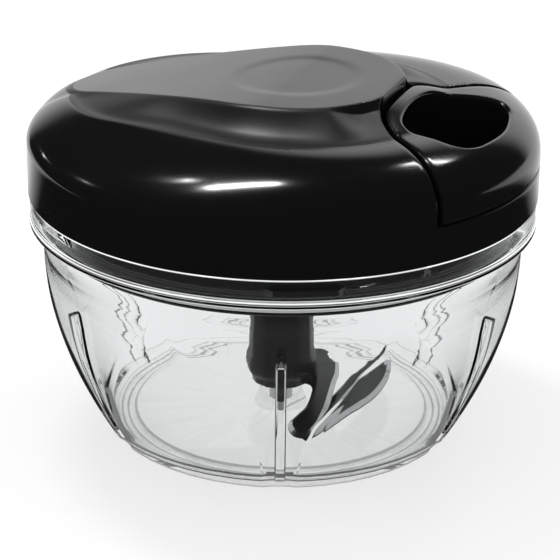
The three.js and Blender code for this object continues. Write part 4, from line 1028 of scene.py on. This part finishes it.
def lid_section(plan, split, stepped=True):
    """Points of the lid's skin at a plan angle, from the rim in to the middle of the dish.

    One row lies at the height split. The handle's skin runs on below the plateau with no step.
    """
    sizes = settings().lid
    away = abs(math.degrees(math.atan2(math.sin(plan), math.cos(plan))))
    edge = mm(sizes.radius)
    plateau = plateau_edge(plan)
    plateau_z = plateau_height(plateau * math.cos(plan))
    crease = crease_edge(plan)
    crease_z = crease_height(plan)
    tail = ease((away - SHOULDER_TAIL_START) / SHOULDER_TAIL_SPAN)
    shoulder_z = SHOULDER_Z + SHOULDER_TAIL_RISE * tail
    power = mix(SHOULDER_NOSE_POWER, SHOULDER_TAIL_POWER,
                ease((away - SHOULDER_POWER_START) / SHOULDER_POWER_SPAN))
    line_z = mix(plateau_z, crease_z, BAND_FOOT / max(crease - plateau, BAND_FOOT))
    nose = 1 - ease((away - NOSE_STEP_START) / NOSE_STEP_SPAN)
    bow = mix(1.0, BAND_BOW, ease((away - BAND_BOW_START) / BAND_BOW_RISE)
              * ease((BAND_BOW_END - away) / BAND_BOW_FALL))
    hollow = (SHOULDER_HOLLOW * ease((away - SHOULDER_HOLLOW_START) / SHOULDER_HOLLOW_SPAN)
              * (edge - crease))
    step_z = mix(line_z, LID_TOP - NOSE_STEP, nose)
    corners = [((edge - 0.3, LID_BOTTOM), 0), ((edge, LID_BOTTOM), 0.25)]
    corners += [((edge, z), 0) for z in (*WALL_ROWS, split, *spread(split, shoulder_z, 4))]
    for k in range(1, SHOULDER_STEPS + 1):
        angle = math.radians(k * 88 / SHOULDER_STEPS)
        out, up = math.cos(angle) ** power, math.sin(angle) ** power
        height = mix(shoulder_z, crease_z, up) - hollow * out * (1 - out)
        corners.append(((mix(crease, edge, out), height), 0))
    foot = plateau + BAND_FOOT
    valley = crease - min(BAND_VALLEY, (crease - foot) * BAND_VALLEY_SHARE)
    valley_z = crease_z + VALLEY_RISE
    corners.append(((valley, valley_z), 1.5))
    corners += [((mix(valley, foot, share), mix(valley_z, step_z, share ** bow)), 0)
                for share in BAND_SHARES]
    start = plateau - PLATEAU_RIM
    if stepped:
        corners += [((foot, step_z), 0.45), ((plateau, plateau_z), 0.4),
                    ((start, plateau_height(start * math.cos(plan))), 0)]
    else:
        slope = (step_z - crease_z) * bow / (foot - valley)
        corners += [((foot - run, step_z - slope * run), 0) for run in UNDER_STEPS]
    line = soft_line([((r, 0, z), soft) for (r, z), soft in corners])
    points = [Vector((*polar(p.x, plan), p.z)) for p in line]
    if not stepped:
        return points
    dish, depth = mm(sizes.dish_radius), mm(sizes.dish_depth)
    for share in spread(0, 1, 9):
        r = mix(start, circle_edge(plan, PLATEAU_X, dish + 3.2), share)
        points.append(plateau_point(*polar(r, plan), 0))
    for beyond, low in DISH_SLOPE:
        r = circle_edge(plan, PLATEAU_X, dish + beyond)
        points.append(plateau_point(*polar(r, plan), low * depth))
    rim, middle = points[-1], Vector((PLATEAU_X, 0, 0))
    for share in spread(0, 1, 6):
        flat = rim.lerp(middle, share)
        points.append(plateau_point(flat.x, flat.y, depth))
    return points


def plateau_point(x, y, drop):
    return Vector((x, y, plateau_height(x) - drop))


def recess_half(steps=14):
    """Half of the recess's plan outline: flat nose, round corner and slanted flank."""
    corner_y = RECESS_NOSE_X - RECESS_FLANK_X
    start = Vector((RECESS_NOSE_X, RECESS_NOSE_HALF))
    corner = Vector((RECESS_NOSE_X, corner_y))
    end = Vector((RECESS_NOSE_X + RECESS_CORNER, corner_y + RECESS_CORNER))
    points = [Vector((RECESS_NOSE_X, -1.0)), Vector((RECESS_NOSE_X, 3.0))]
    for k in range(steps + 1):
        t = k / steps
        points.append(start.lerp(corner, t).lerp(corner.lerp(end, t), t))
    points.append(Vector((90.0, 90.0 - RECESS_FLANK_X)))
    return points


def finger_half():
    """Half of the finger hole's outline, drawn through its points as a smooth curve."""
    sizes = settings().handle
    start, span, half = (mm(size) for size in
                         (sizes.finger_start, sizes.finger_length, sizes.finger_half))
    rough = [Vector((start + span * x, half * y)) for x, y in FINGER_OUTLINE]
    before = Vector((rough[1].x, -rough[1].y))
    after = Vector((rough[-2].x, -rough[-2].y))
    return smooth_points([before, *rough, after], 4)


def smooth_points(points, steps, closed=False):
    """A curve through points. An open one leaves out its first and last point."""
    count = len(points)
    spans = range(count) if closed else range(1, count - 2)
    made = []
    for i in spans:
        a, b, c, d = (points[(i + k) % count] for k in (-1, 0, 1, 2))
        for k in range(steps):
            t = k / steps
            made.append(0.5 * (2 * b + (c - a) * t + (2 * a - 5 * b + 4 * c - d) * t**2
                               + (3 * b - a - 3 * c + d) * t**3))
    if not closed:
        made.append(points[-2].copy())
    return made


def plan_distance(half, x, y):
    """Signed distance in plan to a mirrored outline, negative on the handle's side of it."""
    point = Vector((x, abs(y)))
    best, side = 1e9, 1.0
    for a, b in zip(half, half[1:]):
        run = b - a
        share = min(max((point - a).dot(run) / run.length_squared, 0.0), 1.0)
        gap = point - a - run * share
        if gap.length < best - 1e-9:
            best = gap.length
            side = run.x * gap.y - run.y * gap.x
    return math.copysign(best, side)


class Skin:
    """The lid's surface: a point for a plan angle and a row that need not be whole."""

    TURN_STEP = 0.003
    ROW_STEP = 0.2

    def __init__(self, split, stepped):
        self.split = split
        self.stepped = stepped

    def point(self, plan, row):
        rows = lid_section(plan, self.split, self.stepped)
        low = min(max(int(row), 0), len(rows) - 2)
        return rows[low].lerp(rows[low + 1], row - low)

    def mesh(self, columns):
        rows = lid_section(0.0, self.split, self.stepped)
        bm = spun([(point.x, point.z) for point in rows], columns)
        bm.verts.layers.int.new("station")
        plans = bm.verts.layers.float.new("plan")
        layer = bm.verts.layers.int["row"]
        sections = {}
        for vert in bm.verts:
            plan = math.atan2(vert.co.y, vert.co.x)
            key = round(plan * columns / (2 * math.pi)) % columns
            plan = key * 2 * math.pi / columns
            if key not in sections:
                sections[key] = lid_section(plan, self.split, self.stepped)
            vert[plans] = plan
            vert.co = sections[key][vert[layer]]
        bmesh.ops.remove_doubles(bm, verts=bm.verts, dist=1e-4)
        bm.normal_update()
        outward(bm)
        return bm

    def settle(self, plan, row, outline, level, along_row):
        """Moves a place on the skin onto a level of an outline by the shortest way."""

        def miss_at(place):
            return plan_distance(outline, place.x, place.y)

        for _ in range(5):
            here = self.point(plan, row)
            miss = miss_at(here) - level
            reach = plan_reach(here)
            ahead, behind = (self.point(plan + sign * self.TURN_STEP, row) for sign in (1, -1))
            across = (miss_at(ahead) - miss_at(behind)) / (2 * self.TURN_STEP * reach)
            up, down = (self.point(plan, row + sign * self.ROW_STEP) for sign in (1, -1))
            span = max((up - down).length, 1e-6)
            along = (miss_at(up) - miss_at(down)) / span
            if along_row or row < 0.3:
                along = 0.0
            slope = across * across + along * along
            if slope < 1e-4:
                break
            plan -= miss * across / slope / reach
            row -= miss * along / slope / (span / (2 * self.ROW_STEP))
        return self.point(plan, row)


def boundary_loops(bm):
    """Closed loops of boundary edges, each a list of verts in order."""
    edges = dict.fromkeys(boundary_edges(bm))
    loops = []
    while edges:
        edge = next(iter(edges))
        del edges[edge]
        loop = [edge.verts[0], edge.verts[1]]
        while True:
            following = [e for e in loop[-1].link_edges if e in edges]
            if not following:
                break
            del edges[following[0]]
            loop.append(following[0].other_vert(loop[-1]))
        if loop[0] is loop[-1]:
            loop.pop()
        loops.append(loop)
    return loops


def trim_skin(bm, skin, cuts, keep):
    """Deletes the faces that keep turns down, and moves the new edge onto the nearest cut.

    Each cut is (outline, level). The row at the skin's split height stays where it is.
    """
    layer = bm.verts.layers.int["row"]
    plans = bm.verts.layers.float["plan"]
    split_row = next(vert[layer] for vert in bm.verts if abs(vert.co.z - skin.split) < 1e-4)
    old = set(boundary_edges(bm))
    gone = [face for face in bm.faces if not keep(face.calc_center_median())]
    bmesh.ops.delete(bm, geom=gone, context="FACES")
    fresh = [edge for edge in boundary_edges(bm) if edge not in old]
    bm.verts.index_update()
    rim = sorted(edge_verts(fresh), key=lambda vert: vert.index)
    for vert in rim:
        at_split = vert[layer] == split_row
        partners = [edge.other_vert(vert) for edge in vert.link_edges if edge in fresh]
        if at_split and all(other[layer] == split_row for other in partners):
            continue
        misses = [(abs(plan_distance(outline, vert.co.x, vert.co.y) - level), outline, level)
                  for outline, level in cuts]
        _, outline, level = min(misses, key=lambda entry: entry[0])
        vert.co = skin.settle(vert[plans], vert[layer], outline, level, at_split)
    bmesh.ops.remove_doubles(bm, verts=rim, dist=0.25)
    bmesh.ops.dissolve_degenerate(bm, dist=0.01, edges=bm.edges)


def round_over(bm, loops, radius, steps=4):
    """Rolls the open edge round a loop through a quarter turn, away from the faces beside it."""
    station = bm.verts.layers.int["station"]
    bm.normal_update()
    frames = []
    edges = []
    for loop in loops:
        count = len(loop)
        loop_edges = [bm.edges.get((loop[i], loop[(i + 1) % count])) for i in range(count)]
        edges += loop_edges
        sides = []
        for i, edge in enumerate(loop_edges):
            face = edge.link_faces[0]
            run = (loop[(i + 1) % count].co - loop[i].co).normalized()
            away = run.cross(face.normal)
            middle = (edge.verts[0].co + edge.verts[1].co) / 2
            if away.dot(middle - face.calc_center_median()) < 0:
                away.negate()
            sides.append((away, face.normal.copy()))
        for i, vert in enumerate(loop):
            before, after = sides[i - 1], sides[i]
            away = (before[0] + after[0]).normalized()
            normal = (before[1] + after[1]).normalized()
            mitre = 1 / max(away.dot(after[0]), 0.6)
            vert[station] = len(frames)
            frames.append((vert.co.copy(), away * mitre, normal))
    for k in range(steps):
        angle = math.pi / 2 * (k + 1) / steps
        out, down = math.sin(angle), 1 - math.cos(angle)
        edges = extrude_rim(bm, edges)
        for vert in edge_verts(edges):
            start, away, normal = frames[vert[station]]
            vert.co = start + away * radius * out - normal * radius * down
    return edges


def drop_to(bm, edges, z):
    """Draws an edge loop straight down to a height and returns the loop there."""
    edges = extrude_rim(bm, edges)
    verts = edge_verts(edges)
    for vert in verts:
        vert.co.z = z
    bmesh.ops.remove_doubles(bm, verts=verts, dist=0.02)
    bmesh.ops.dissolve_degenerate(bm, dist=0.001, edges=bm.edges)
    edges = [edge for edge in boundary_edges(bm)
             if all(abs(vert.co.z - z) < 0.03 for vert in edge.verts)]
    for vert in edge_verts(edges):
        vert.co.z = z
    return edges


def build_lid_cover():
    """The lid cover: one skin with the handle's recess sunk into it, then given its wall."""
    sizes = settings().lid
    soft = mm(sizes.rim_softness)
    skin = Skin(RECESS_FLOOR - soft, True)
    bm = skin.mesh(360)
    recess = recess_half()

    def keep(centre):
        return centre.z < skin.split or plan_distance(recess, centre.x, centre.y) > soft

    trim_skin(bm, skin, [(recess, soft)], keep)
    loop = max(boundary_loops(bm), key=lambda verts: sum(v.co.z for v in verts) / len(verts))
    edges = round_over(bm, [loop], soft)
    edges = drop_to(bm, edges, RECESS_FLOOR)
    floor = bmesh.ops.triangle_fill(bm, use_beauty=True, edges=edges)["geom"]
    if not floor:
        raise RuntimeError("the recess has no floor")
    bmesh.ops.recalc_face_normals(bm, faces=bm.faces)
    outward(bm)
    bm = thickened(bm, mm(sizes.wall))
    bm = cut_away(bm, cord_bore(2.7, 24.0, 28.9, 32))
    for place in screw_places():
        joined(bm, post(place))
    joined(bm, spun_ring([((19.4, 81.6), 0.2), ((20.8, 81.6), 0.2), ((20.8, 86.6), 0.1),
                          ((19.4, 86.6), 0.1)], 72))
    joined(bm, spun_ring([((2.2, 86.4), 0.1), ((4.6, 86.4), 0.2), ((4.6, 89.4), 0.1),
                          ((2.2, 89.4), 0.1)], 40))
    bm.normal_update()
    for face in bm.faces:
        face.material_index = 1 if on_plateau(face) else 2 if on_band(face) else 0
    return piece(bm, "lid_skin", [gloss_black(), satin_black(), sheen_black()], "lid",
                 ["lid_cover"])


def on_band(face):
    """Whether a face belongs to the band between the crease and the plateau."""
    x, y, z = face.calc_center_median()
    plan = math.atan2(y, x)
    return (face.normal.z > 0.2 and z > crease_height(plan) - 0.2
            and math.hypot(x, y) < crease_edge(plan) - 0.1)


def on_plateau(face):
    """Whether a face belongs to the satin top of the lid."""
    x, y, z = face.calc_center_median()
    edge = plateau_edge(math.atan2(y, x))
    return (z > plateau_height(x) - 0.9 and math.hypot(x, y) < edge - 0.1
            and (face.normal.z > 0.75 or z > plateau_height(x) - 0.3))


def screw_places():
    plans = [math.radians(FIRST_SCREW + SCREW_STEP * k) for k in range(SCREW_COUNT)]
    return [Vector((*polar(SCREW_CIRCLE, plan), 0)) for plan in plans]


def post(place):
    """A hollow post that a lid screw runs into."""
    bm = spun_ring([((1.6, 53.6), 0.1), ((3.6, 53.6), 0.3), ((3.7, 80.0), 0.2),
                    ((1.6, 80.0), 0.1)], 24)
    bmesh.ops.translate(bm, vec=place, verts=bm.verts)
    return bm


def build_lid_base():
    """The lid base: a plate, skirt and collar with bayonet lugs and screw seats."""
    bm = spun_ring([
        ((5.2, 51.0), 0.2), ((56.3, 51.0), 0.5), ((57.3, 52.0), 0.3), ((56.2, 52.0), 0.1),
        ((56.2, 54.0), 0.1), ((57.3, 54.0), 0.2), ((57.3, 56.4), 0.3), ((59.3, 56.4), 0.4),
        ((59.3, 57.1), 0.05), ((59.3, 57.3), 0.05), ((59.3, 59.1), 0.05), ((59.3, 59.3), 0.05),
        ((59.3, 62.9), 0.2), ((61.1, 62.9), 0.2), ((61.1, 64.4), 0.3), ((57.6, 64.4), 0.3),
        ((57.6, 58.1), 0.4), ((54.5, 56.4), 0.6), ((54.5, 53.2), 0.5), ((5.2, 53.2), 0.2),
    ], 360)
    for vert in bm.verts:
        r = plan_reach(vert.co)
        if abs(r - 59.3) < 0.02 and 57.2 < vert.co.z < 59.2:
            plan = math.atan2(vert.co.y, vert.co.x)
            widened(vert, (r + lug_reach(plan, BASE_LUG_TURN, BASE_LUG_REACH)) / r)
    for place in screw_places():
        bm = cut_away(bm, rod(3.1, (place.x, place.y, 49), (place.x, place.y, 52.4), 32))
    return piece(bm, "lid_base_plate", [gloss_black()], "lid", ["lid_base"])


def build_lid_seal():
    """The silicone seal: a ring with a soft lip."""
    bm = spun_ring([
        ((56.5, 52.3), 0.15), ((57.3, 52.3), 0.2), ((57.42, 53.0), 0.3), ((57.3, 53.7), 0.2),
        ((56.5, 53.7), 0.15),
    ], 240, steps=3)
    return piece(bm, "lid_seal_ring", [grey_silicone()], "seal_ring", ["lid_seal"])


def build_pull_handle():
    """The pull handle: its own part of the lid's skin, with the finger hole, on straight sides."""
    sizes = settings().handle
    soft, lip = mm(sizes.edge_softness), mm(sizes.lip_softness)
    bottom = RECESS_FLOOR + 0.3
    skin = Skin(bottom + soft, False)
    bm = skin.mesh(420)
    recess, finger = recess_half(), finger_half()
    inset = -(mm(sizes.groove) + soft)

    def keep(centre):
        return (centre.z > skin.split and plan_distance(recess, centre.x, centre.y) < inset
                and plan_distance(finger, centre.x, centre.y) > lip)

    trim_skin(bm, skin, [(recess, inset), (finger, lip)], keep)
    loops = sorted(boundary_loops(bm), key=len)
    hole, outer = loops[0], loops[-1]
    outer_edges = round_over(bm, [outer], soft)
    round_over(bm, [hole], lip, 6)
    drop_to(bm, outer_edges, bottom)
    drop_to(bm, [edge for edge in boundary_edges(bm) if edge_top(edge) > bottom + 1], bottom)
    under = [edge for edge in boundary_edges(bm) if edge_top(edge) < bottom + 0.01]
    if not under:
        raise RuntimeError("the handle's underside stayed open")
    bmesh.ops.triangle_fill(bm, use_beauty=True, edges=under)
    bmesh.ops.holes_fill(bm, edges=boundary_edges(bm), sides=12)
    bm = cut_away(bm, cord_bore(1.3, 28.0, 32.0, 24))
    bm = cut_away(bm, cord_bore(2.5, 31.0, 37.0, 32))
    return piece(bm, "pull_handle_skin", [gloss_black()], "handle", ["pull_handle"])


# Cord


def cord_path():
    """Points of the pull cord from the winding to the knot."""
    bend = math.acos(CORD_LEAVES / EYELET_THROAT)
    start = Vector((*polar(CORD_LEAVES, -bend), CORD_HEIGHT))
    corner = Vector((EYELET_THROAT - 1.0, 0, CORD_HEIGHT))
    after = Vector((EYELET_THROAT + 2.0, 0, CORD_HEIGHT))
    before = start.lerp(corner, 1 - 3.0 / (corner - start).length)
    points = [start.lerp(before, k / 8) for k in range(8)]
    for k in range(7):
        t = k / 6
        points.append(before.lerp(corner, t).lerp(corner.lerp(after, t), t))
    return points + [Vector((x, 0, CORD_HEIGHT)) for x in HANDLE_POINTS]


def build_cord():
    """The cord to the handle, its knot, and the turns that wait on the reel."""
    radius = mm(settings().handle.cord_diameter) / 2
    cord = piece(swept(cord_path(), radius, 16), "pull_cord_braid", [braided_cord()], None,
                 ["pull_cord"])
    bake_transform(cord, "lid", "handle", start=(0.0285, 0, 0.077), end=(0.0309, 0, 0.077))
    knot = []
    for k in range(KNOT_STEPS + 1):
        t = 2 * math.pi * k / KNOT_STEPS
        knot.append(Vector((KNOT_X + 0.28 * math.sin(3 * t),
                            KNOT_SIZE * (math.sin(t) + 2 * math.sin(2 * t)),
                            CORD_HEIGHT + KNOT_SIZE * (math.cos(t) - 2 * math.cos(2 * t)))))
    piece(swept(knot, KNOT_STRAND, 10), "pull_cord_knot", [braided_cord()], "handle",
          ["cord_knot"])
    turns = []
    count = LAYER_TURNS * TURN_STEPS
    for reel_radius, low, high in REEL_LAYERS:
        for k in range(count):
            place = polar(reel_radius, 2 * math.pi * k / TURN_STEPS)
            turns.append(Vector((*place, mix(low, high, k / count))))
    piece(swept(turns, TURN_STRAND, 10), "cord_turns", [braided_cord()], "reel",
          ["cord_winding"])


# Blade unit


def blade(outline, reach, z, turn_degrees):
    """A blade plate with a ground bevel round the upper edge of its outline."""
    sizes = settings().blades
    plate, ground = mm(sizes.plate), mm(sizes.ground_edge)
    points = smooth_points([Vector((x * reach, y * reach, 0)) for x, y in outline], 4, closed=True)
    bm = bmesh.new()
    face = bm.faces.new([bm.verts.new(point) for point in points])
    face.normal_update()
    if face.normal.z < 0:
        bmesh.ops.reverse_faces(bm, faces=[face])
    made = bmesh.ops.extrude_face_region(bm, geom=[face])["geom"]
    top = next(item for item in made if isinstance(item, bmesh.types.BMFace))
    bmesh.ops.translate(bm, vec=(0, 0, 0.3), verts=top.verts)
    bevel = bmesh.ops.inset_region(bm, faces=[top], thickness=ground, depth=0.0,
                                   use_even_offset=True)["faces"]
    for face in bevel:
        face.material_index = 1
    bmesh.ops.translate(bm, vec=(0, 0, plate - 0.3), verts=top.verts)
    place = Matrix.Translation((0, 0, z)) @ Matrix.Rotation(math.radians(turn_degrees), 4, "Z")
    bmesh.ops.transform(bm, matrix=place, verts=bm.verts)
    bmesh.ops.triangulate(bm, faces=[f for f in bm.faces if len(f.verts) > 4])
    return bm


def build_blade_unit():
    """The hub with its hexagonal socket and the three blades."""
    sizes = settings().blades
    radius, collar = mm(sizes.hub_radius), mm(sizes.hub_collar)
    lay = Matrix.Rotation(sizes.unit_turn, 4, "Z")
    bm = spun([
        (3.5, 9.4), (7.2, 9.4), (7.2, 11.4), (collar, 13.5), (collar, 16.9), (radius, 18.9),
        (radius, 50.6), (4.0, 50.6), (4.0, 44.5), (0.0, 44.5),
    ], 12)
    edges = boundary_edges(bm)
    for share, z in ((1.0, 13.2), (2.0 / 3.5, 13.2), (1.0, 26.6)):
        edges = extrude_rim(bm, edges)
        for vert in edge_verts(edges):
            widened(vert, share)
            vert.co.z = z
    bmesh.ops.edgeloop_fill(bm, edges=edges)
    for vert in bm.verts:
        if vert.co.z > 44 and 3.9 < plan_reach(vert.co) < 4.1:
            plan = math.degrees(math.atan2(vert.co.y, vert.co.x))
            if round(plan / 30) % 2:
                widened(vert, math.cos(math.pi / 6))
    bm.normal_update()
    sharp = [edge for edge in bm.edges if len(edge.link_faces) == 2
             and edge.calc_face_angle() > math.radians(20)
             and min(plan_reach(vert.co) for vert in edge.verts) > 6]
    bmesh.ops.bevel(bm, geom=sharp, affect="EDGES", offset=0.28, segments=2, profile=0.5,
                    material=-1)
    bmesh.ops.transform(bm, matrix=lay, verts=bm.verts)
    piece(bm, "blade_hub_body", [hub_black()], "blade_unit", ["blade_hub"], angle=24)
    for name, outline, reach, z, degrees in BLADES:
        plate = blade(outline, reach, z, degrees)
        bmesh.ops.transform(plate, matrix=lay, verts=plate.verts)
        piece(plate, f"{name}_plate", [coated_steel(), polished_steel()], "blade_unit", [name],
              angle=24)


def dress_works():
    """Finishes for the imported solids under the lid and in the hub."""
    finishes = {
        white_nylon(): ("cord_reel", "shaft_bush", "reel_spacer", "pivot_bush"),
        satin_black(): ("spring_cup", "spring_cover"),
        spring_steel(): ("recoil_spring", "reel_axle", "drive_shaft"),
        polished_steel(): (*(f"lid_screw_{k + 1}" for k in range(SCREW_COUNT)), "cord_eyelet"),
    }
    for finish, nodes in finishes.items():
        for node in nodes:
            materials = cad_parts[node].data.materials
            materials.clear()
            materials.append(finish)


# Studio


def camera_turn():
    """Rotation of the camera: round the object, down to it, and the photograph's slight lean."""
    studio = settings().studio
    return (Matrix.Rotation(studio.azimuth, 4, "Z")
            @ Matrix.Rotation(math.pi / 2 - studio.elevation, 4, "X")
            @ Matrix.Rotation(CAMERA_LEAN_Y, 4, "Y") @ Matrix.Rotation(CAMERA_LEAN_X, 4, "X")
            @ Matrix.Rotation(CAMERA_ROLL, 4, "Z"))


def build_camera():
    studio = settings().studio
    data = bpy.data.cameras.new("camera")
    data.lens = studio.lens
    data.sensor_width = 36.0
    data.clip_start, data.clip_end = 0.05, 20.0
    camera = bpy.data.objects.new("camera", data)
    bpy.context.scene.collection.objects.link(camera)
    back = Matrix.Rotation(studio.azimuth, 4, "Z") @ Vector((
        0, -studio.distance * math.cos(studio.elevation),
        studio.distance * math.sin(studio.elevation)))
    place = back + Vector((0, 0, studio.aim_height))
    camera.matrix_world = Matrix.Translation(place) @ camera_turn()
    bpy.context.scene.camera = camera


def studio_plan(tree, vector):
    """A direction or place in the photograph's own plan: X to the right and Y away."""
    lay = add_node(tree, "ShaderNodeMapping", Rotation=(0.0, 0.0, -settings().studio.azimuth))
    tree.links.new(vector, lay.inputs["Vector"])
    return split_place(tree, lay.outputs["Vector"])


def after_bounce(tree, rays, kind):
    """1 for light that a surface of this kind has already turned, and 0 for other light."""
    return math_node(tree, "GREATER_THAN", rays[f"{kind} Depth"], 0.5)


def build_world():
    """A white studio behind the object, and a dim room in front that gloss and glass show."""
    world = bpy.data.worlds.new("studio")
    world.use_nodes = True
    bpy.context.scene.world = world
    tree = world.node_tree
    background = tree.nodes["Background"]
    background.inputs["Color"].default_value = (1.0, 1.0, 1.0, 1.0)
    coords = tree.nodes.new("ShaderNodeTexCoord")
    rays = tree.nodes.new("ShaderNodeLightPath").outputs
    plan = studio_plan(tree, coords.outputs["Generated"])
    right = math_node(tree, "MULTIPLY", math_node(tree, "MAXIMUM", plan["X"], 0.0), 0.25)
    behind = math_node(tree, "ADD", plan["Y"], right)
    mirrored = map_range(tree, behind, 0.84, 0.93, 0.012, 1.0)
    bent = map_range(tree, plan["Y"], -0.3, 0.35, 0.8, 1.0)
    inside = after_bounce(tree, rays, "Transmission")
    soft = switched(tree, inside, 1.0, bent)
    back = map_range(tree, plan["Y"], -0.2, 0.3, 0.1, 0.75)
    bounced = switched(tree, inside, mirrored, back)
    glossy = after_bounce(tree, rays, "Glossy")
    tree.links.new(switched(tree, glossy, soft, bounced), background.inputs["Strength"])


def build_floor():
    """The table: pale, keeping the shadow, and dim in front where only gloss would show it."""
    bm = bmesh.new()
    bmesh.ops.create_grid(bm, x_segments=1, y_segments=1, size=4.0)
    floor = plain_object(bm, "floor")
    finish, tree, shader, coords = new_finish("Table", settings().studio.floor)
    shader.inputs["Roughness"].default_value = 0.8
    shader.inputs["Specular IOR Level"].default_value = 0.0
    rays = tree.nodes.new("ShaderNodeLightPath").outputs
    away = studio_plan(tree, coords)["Y"]
    back = map_range(tree, away, 0.11, 0.17, 0.0, 1.0)
    near = map_range(tree, length_of(tree, coords), 0.1, 0.17, 0.1, 0.0)
    mirrored = math_node(tree, "MAXIMUM", math_node(tree, "MAXIMUM", back, near), 0.012)
    glossy = after_bounce(tree, rays, "Glossy")
    bent = after_bounce(tree, rays, "Transmission")
    seen = map_range(tree, away, -0.04, 0.08, 0.12, 0.75)
    glow = tree.nodes.new("ShaderNodeEmission")
    tree.links.new(switched(tree, glossy, 1.0, switched(tree, bent, mirrored, seen)),
                   glow.inputs["Strength"])
    direct = math_node(tree, "MULTIPLY", rays["Is Camera Ray"], 0.62)
    share = math_node(tree, "MAXIMUM", switched(tree, bent, direct, 0.8), glossy)
    two_shaders(tree, share, shader.outputs["BSDF"], glow.outputs["Emission"])
    floor.data.materials.append(finish)


def area_light(name, place, aim, width, height, power, roll=0.0):
    """A soft rectangular light, placed in the camera's own plan: right, away and up."""
    data = bpy.data.lights.new(name, "AREA")
    data.shape = "RECTANGLE"
    data.size, data.size_y = width, height
    data.energy = power
    light = bpy.data.objects.new(name, data)
    bpy.context.scene.collection.objects.link(light)
    spin = Matrix.Rotation(settings().studio.azimuth, 4, "Z")
    place, aim = spin @ Vector(place), spin @ Vector(aim)
    turned = (aim - place).to_track_quat("-Z", "Y").to_matrix().to_4x4()
    light.matrix_world = Matrix.Translation(place) @ turned @ Matrix.Rotation(roll, 4, "Z")


def build_stage():
    build_camera()
    build_world()
    build_floor()
    area_light("key", (-0.165, 0.215, 0.725), (-0.01, -0.054, 0.082), 0.16, 0.045,
               settings().studio.key, KEY_ROLL)
    for light in SMALL_LIGHTS:
        area_light(*light)


# Operators


class CHOPPER_OT_stage(bpy.types.Operator):
    """Sets up the camera, the table and the lights"""

    bl_idname = "chopper.stage"
    bl_label = "Studio"

    def execute(self, context):
        build_stage()
        return {"FINISHED"}


class CHOPPER_OT_bowl(bpy.types.Operator):
    """Models the clear bowl and the steel pin in its floor"""

    bl_idname = "chopper.bowl"
    bl_label = "Bowl and Pin"

    def execute(self, context):
        build_bowl()
        build_pivot_pin()
        return {"FINISHED"}


class CHOPPER_OT_lid(bpy.types.Operator):
    """Models the lid cover, the lid base and the seal"""

    bl_idname = "chopper.lid"
    bl_label = "Lid"

    def execute(self, context):
        build_lid_cover()
        build_lid_base()
        build_lid_seal()
        return {"FINISHED"}


class CHOPPER_OT_handle(bpy.types.Operator):
    """Models the pull handle that nests in the lid"""

    bl_idname = "chopper.handle"
    bl_label = "Pull Handle"

    def execute(self, context):
        build_pull_handle()
        return {"FINISHED"}


class CHOPPER_OT_cord(bpy.types.Operator):
    """Models the pull cord, its knot and its turns on the reel"""

    bl_idname = "chopper.cord"
    bl_label = "Cord"

    def execute(self, context):
        build_cord()
        return {"FINISHED"}


class CHOPPER_OT_blades(bpy.types.Operator):
    """Models the blade hub and its three blades"""

    bl_idname = "chopper.blades"
    bl_label = "Blade Unit"

    def execute(self, context):
        build_blade_unit()
        return {"FINISHED"}


class CHOPPER_OT_works(bpy.types.Operator):
    """Gives the reel, spring, shaft and screws their finishes"""

    bl_idname = "chopper.works"
    bl_label = "Hidden Works"

    def execute(self, context):
        dress_works()
        return {"FINISHED"}


OPERATORS = (CHOPPER_OT_stage, CHOPPER_OT_bowl, CHOPPER_OT_lid, CHOPPER_OT_handle, CHOPPER_OT_cord,
             CHOPPER_OT_blades, CHOPPER_OT_works)


class ChopperSizes(bpy.types.PropertyGroup):
    """All the chopper's settings"""

    bowl: PointerProperty(type=BowlSettings, name="Bowl", description="Sizes of the bowl")
    lid: PointerProperty(type=LidSettings, name="Lid", description="Sizes of the lid")
    handle: PointerProperty(type=HandleSettings, name="Handle", description="Sizes of the handle")
    blades: PointerProperty(type=BladeSettings, name="Blades",
                            description="Sizes of the blade unit")
    finish: PointerProperty(type=FinishSettings, name="Finish", description="Colours")
    studio: PointerProperty(type=StudioSettings, name="Studio", description="Camera and lights")


class CHOPPER_PT_panel(bpy.types.Panel):
    """Lists the chopper's pieces and their settings"""

    bl_idname = "CHOPPER_PT_panel"
    bl_label = "Pull Cord Chopper"
    bl_space_type = "VIEW_3D"
    bl_region_type = "UI"
    bl_category = "Chopper"

    def draw(self, context):
        sizes = context.scene.chopper_sizes
        for operator in OPERATORS:
            self.layout.operator(operator.bl_idname)
        for group in (sizes.bowl, sizes.lid, sizes.handle, sizes.blades, sizes.finish,
                      sizes.studio):
            box = self.layout.box()
            for name in group.__annotations__:
                box.prop(group, name)


CLASSES = (BowlSettings, LidSettings, HandleSettings, BladeSettings, FinishSettings, StudioSettings,
           ChopperSizes, *OPERATORS, CHOPPER_PT_panel)


def register():
    for item in CLASSES:
        bpy.utils.register_class(item)
    bpy.types.Scene.chopper_sizes = PointerProperty(type=ChopperSizes)


def unregister():
    del bpy.types.Scene.chopper_sizes
    for item in reversed(CLASSES):
        bpy.utils.unregister_class(item)


def main():
    register()
    bpy.context.scene.view_settings.view_transform = "Standard"
    bpy.ops.chopper.stage()
    bpy.ops.chopper.bowl()
    bpy.ops.chopper.lid()
    bpy.ops.chopper.handle()
    bpy.ops.chopper.cord()
    bpy.ops.chopper.blades()
    bpy.ops.chopper.works()


if __name__ == "__main__":
    main()
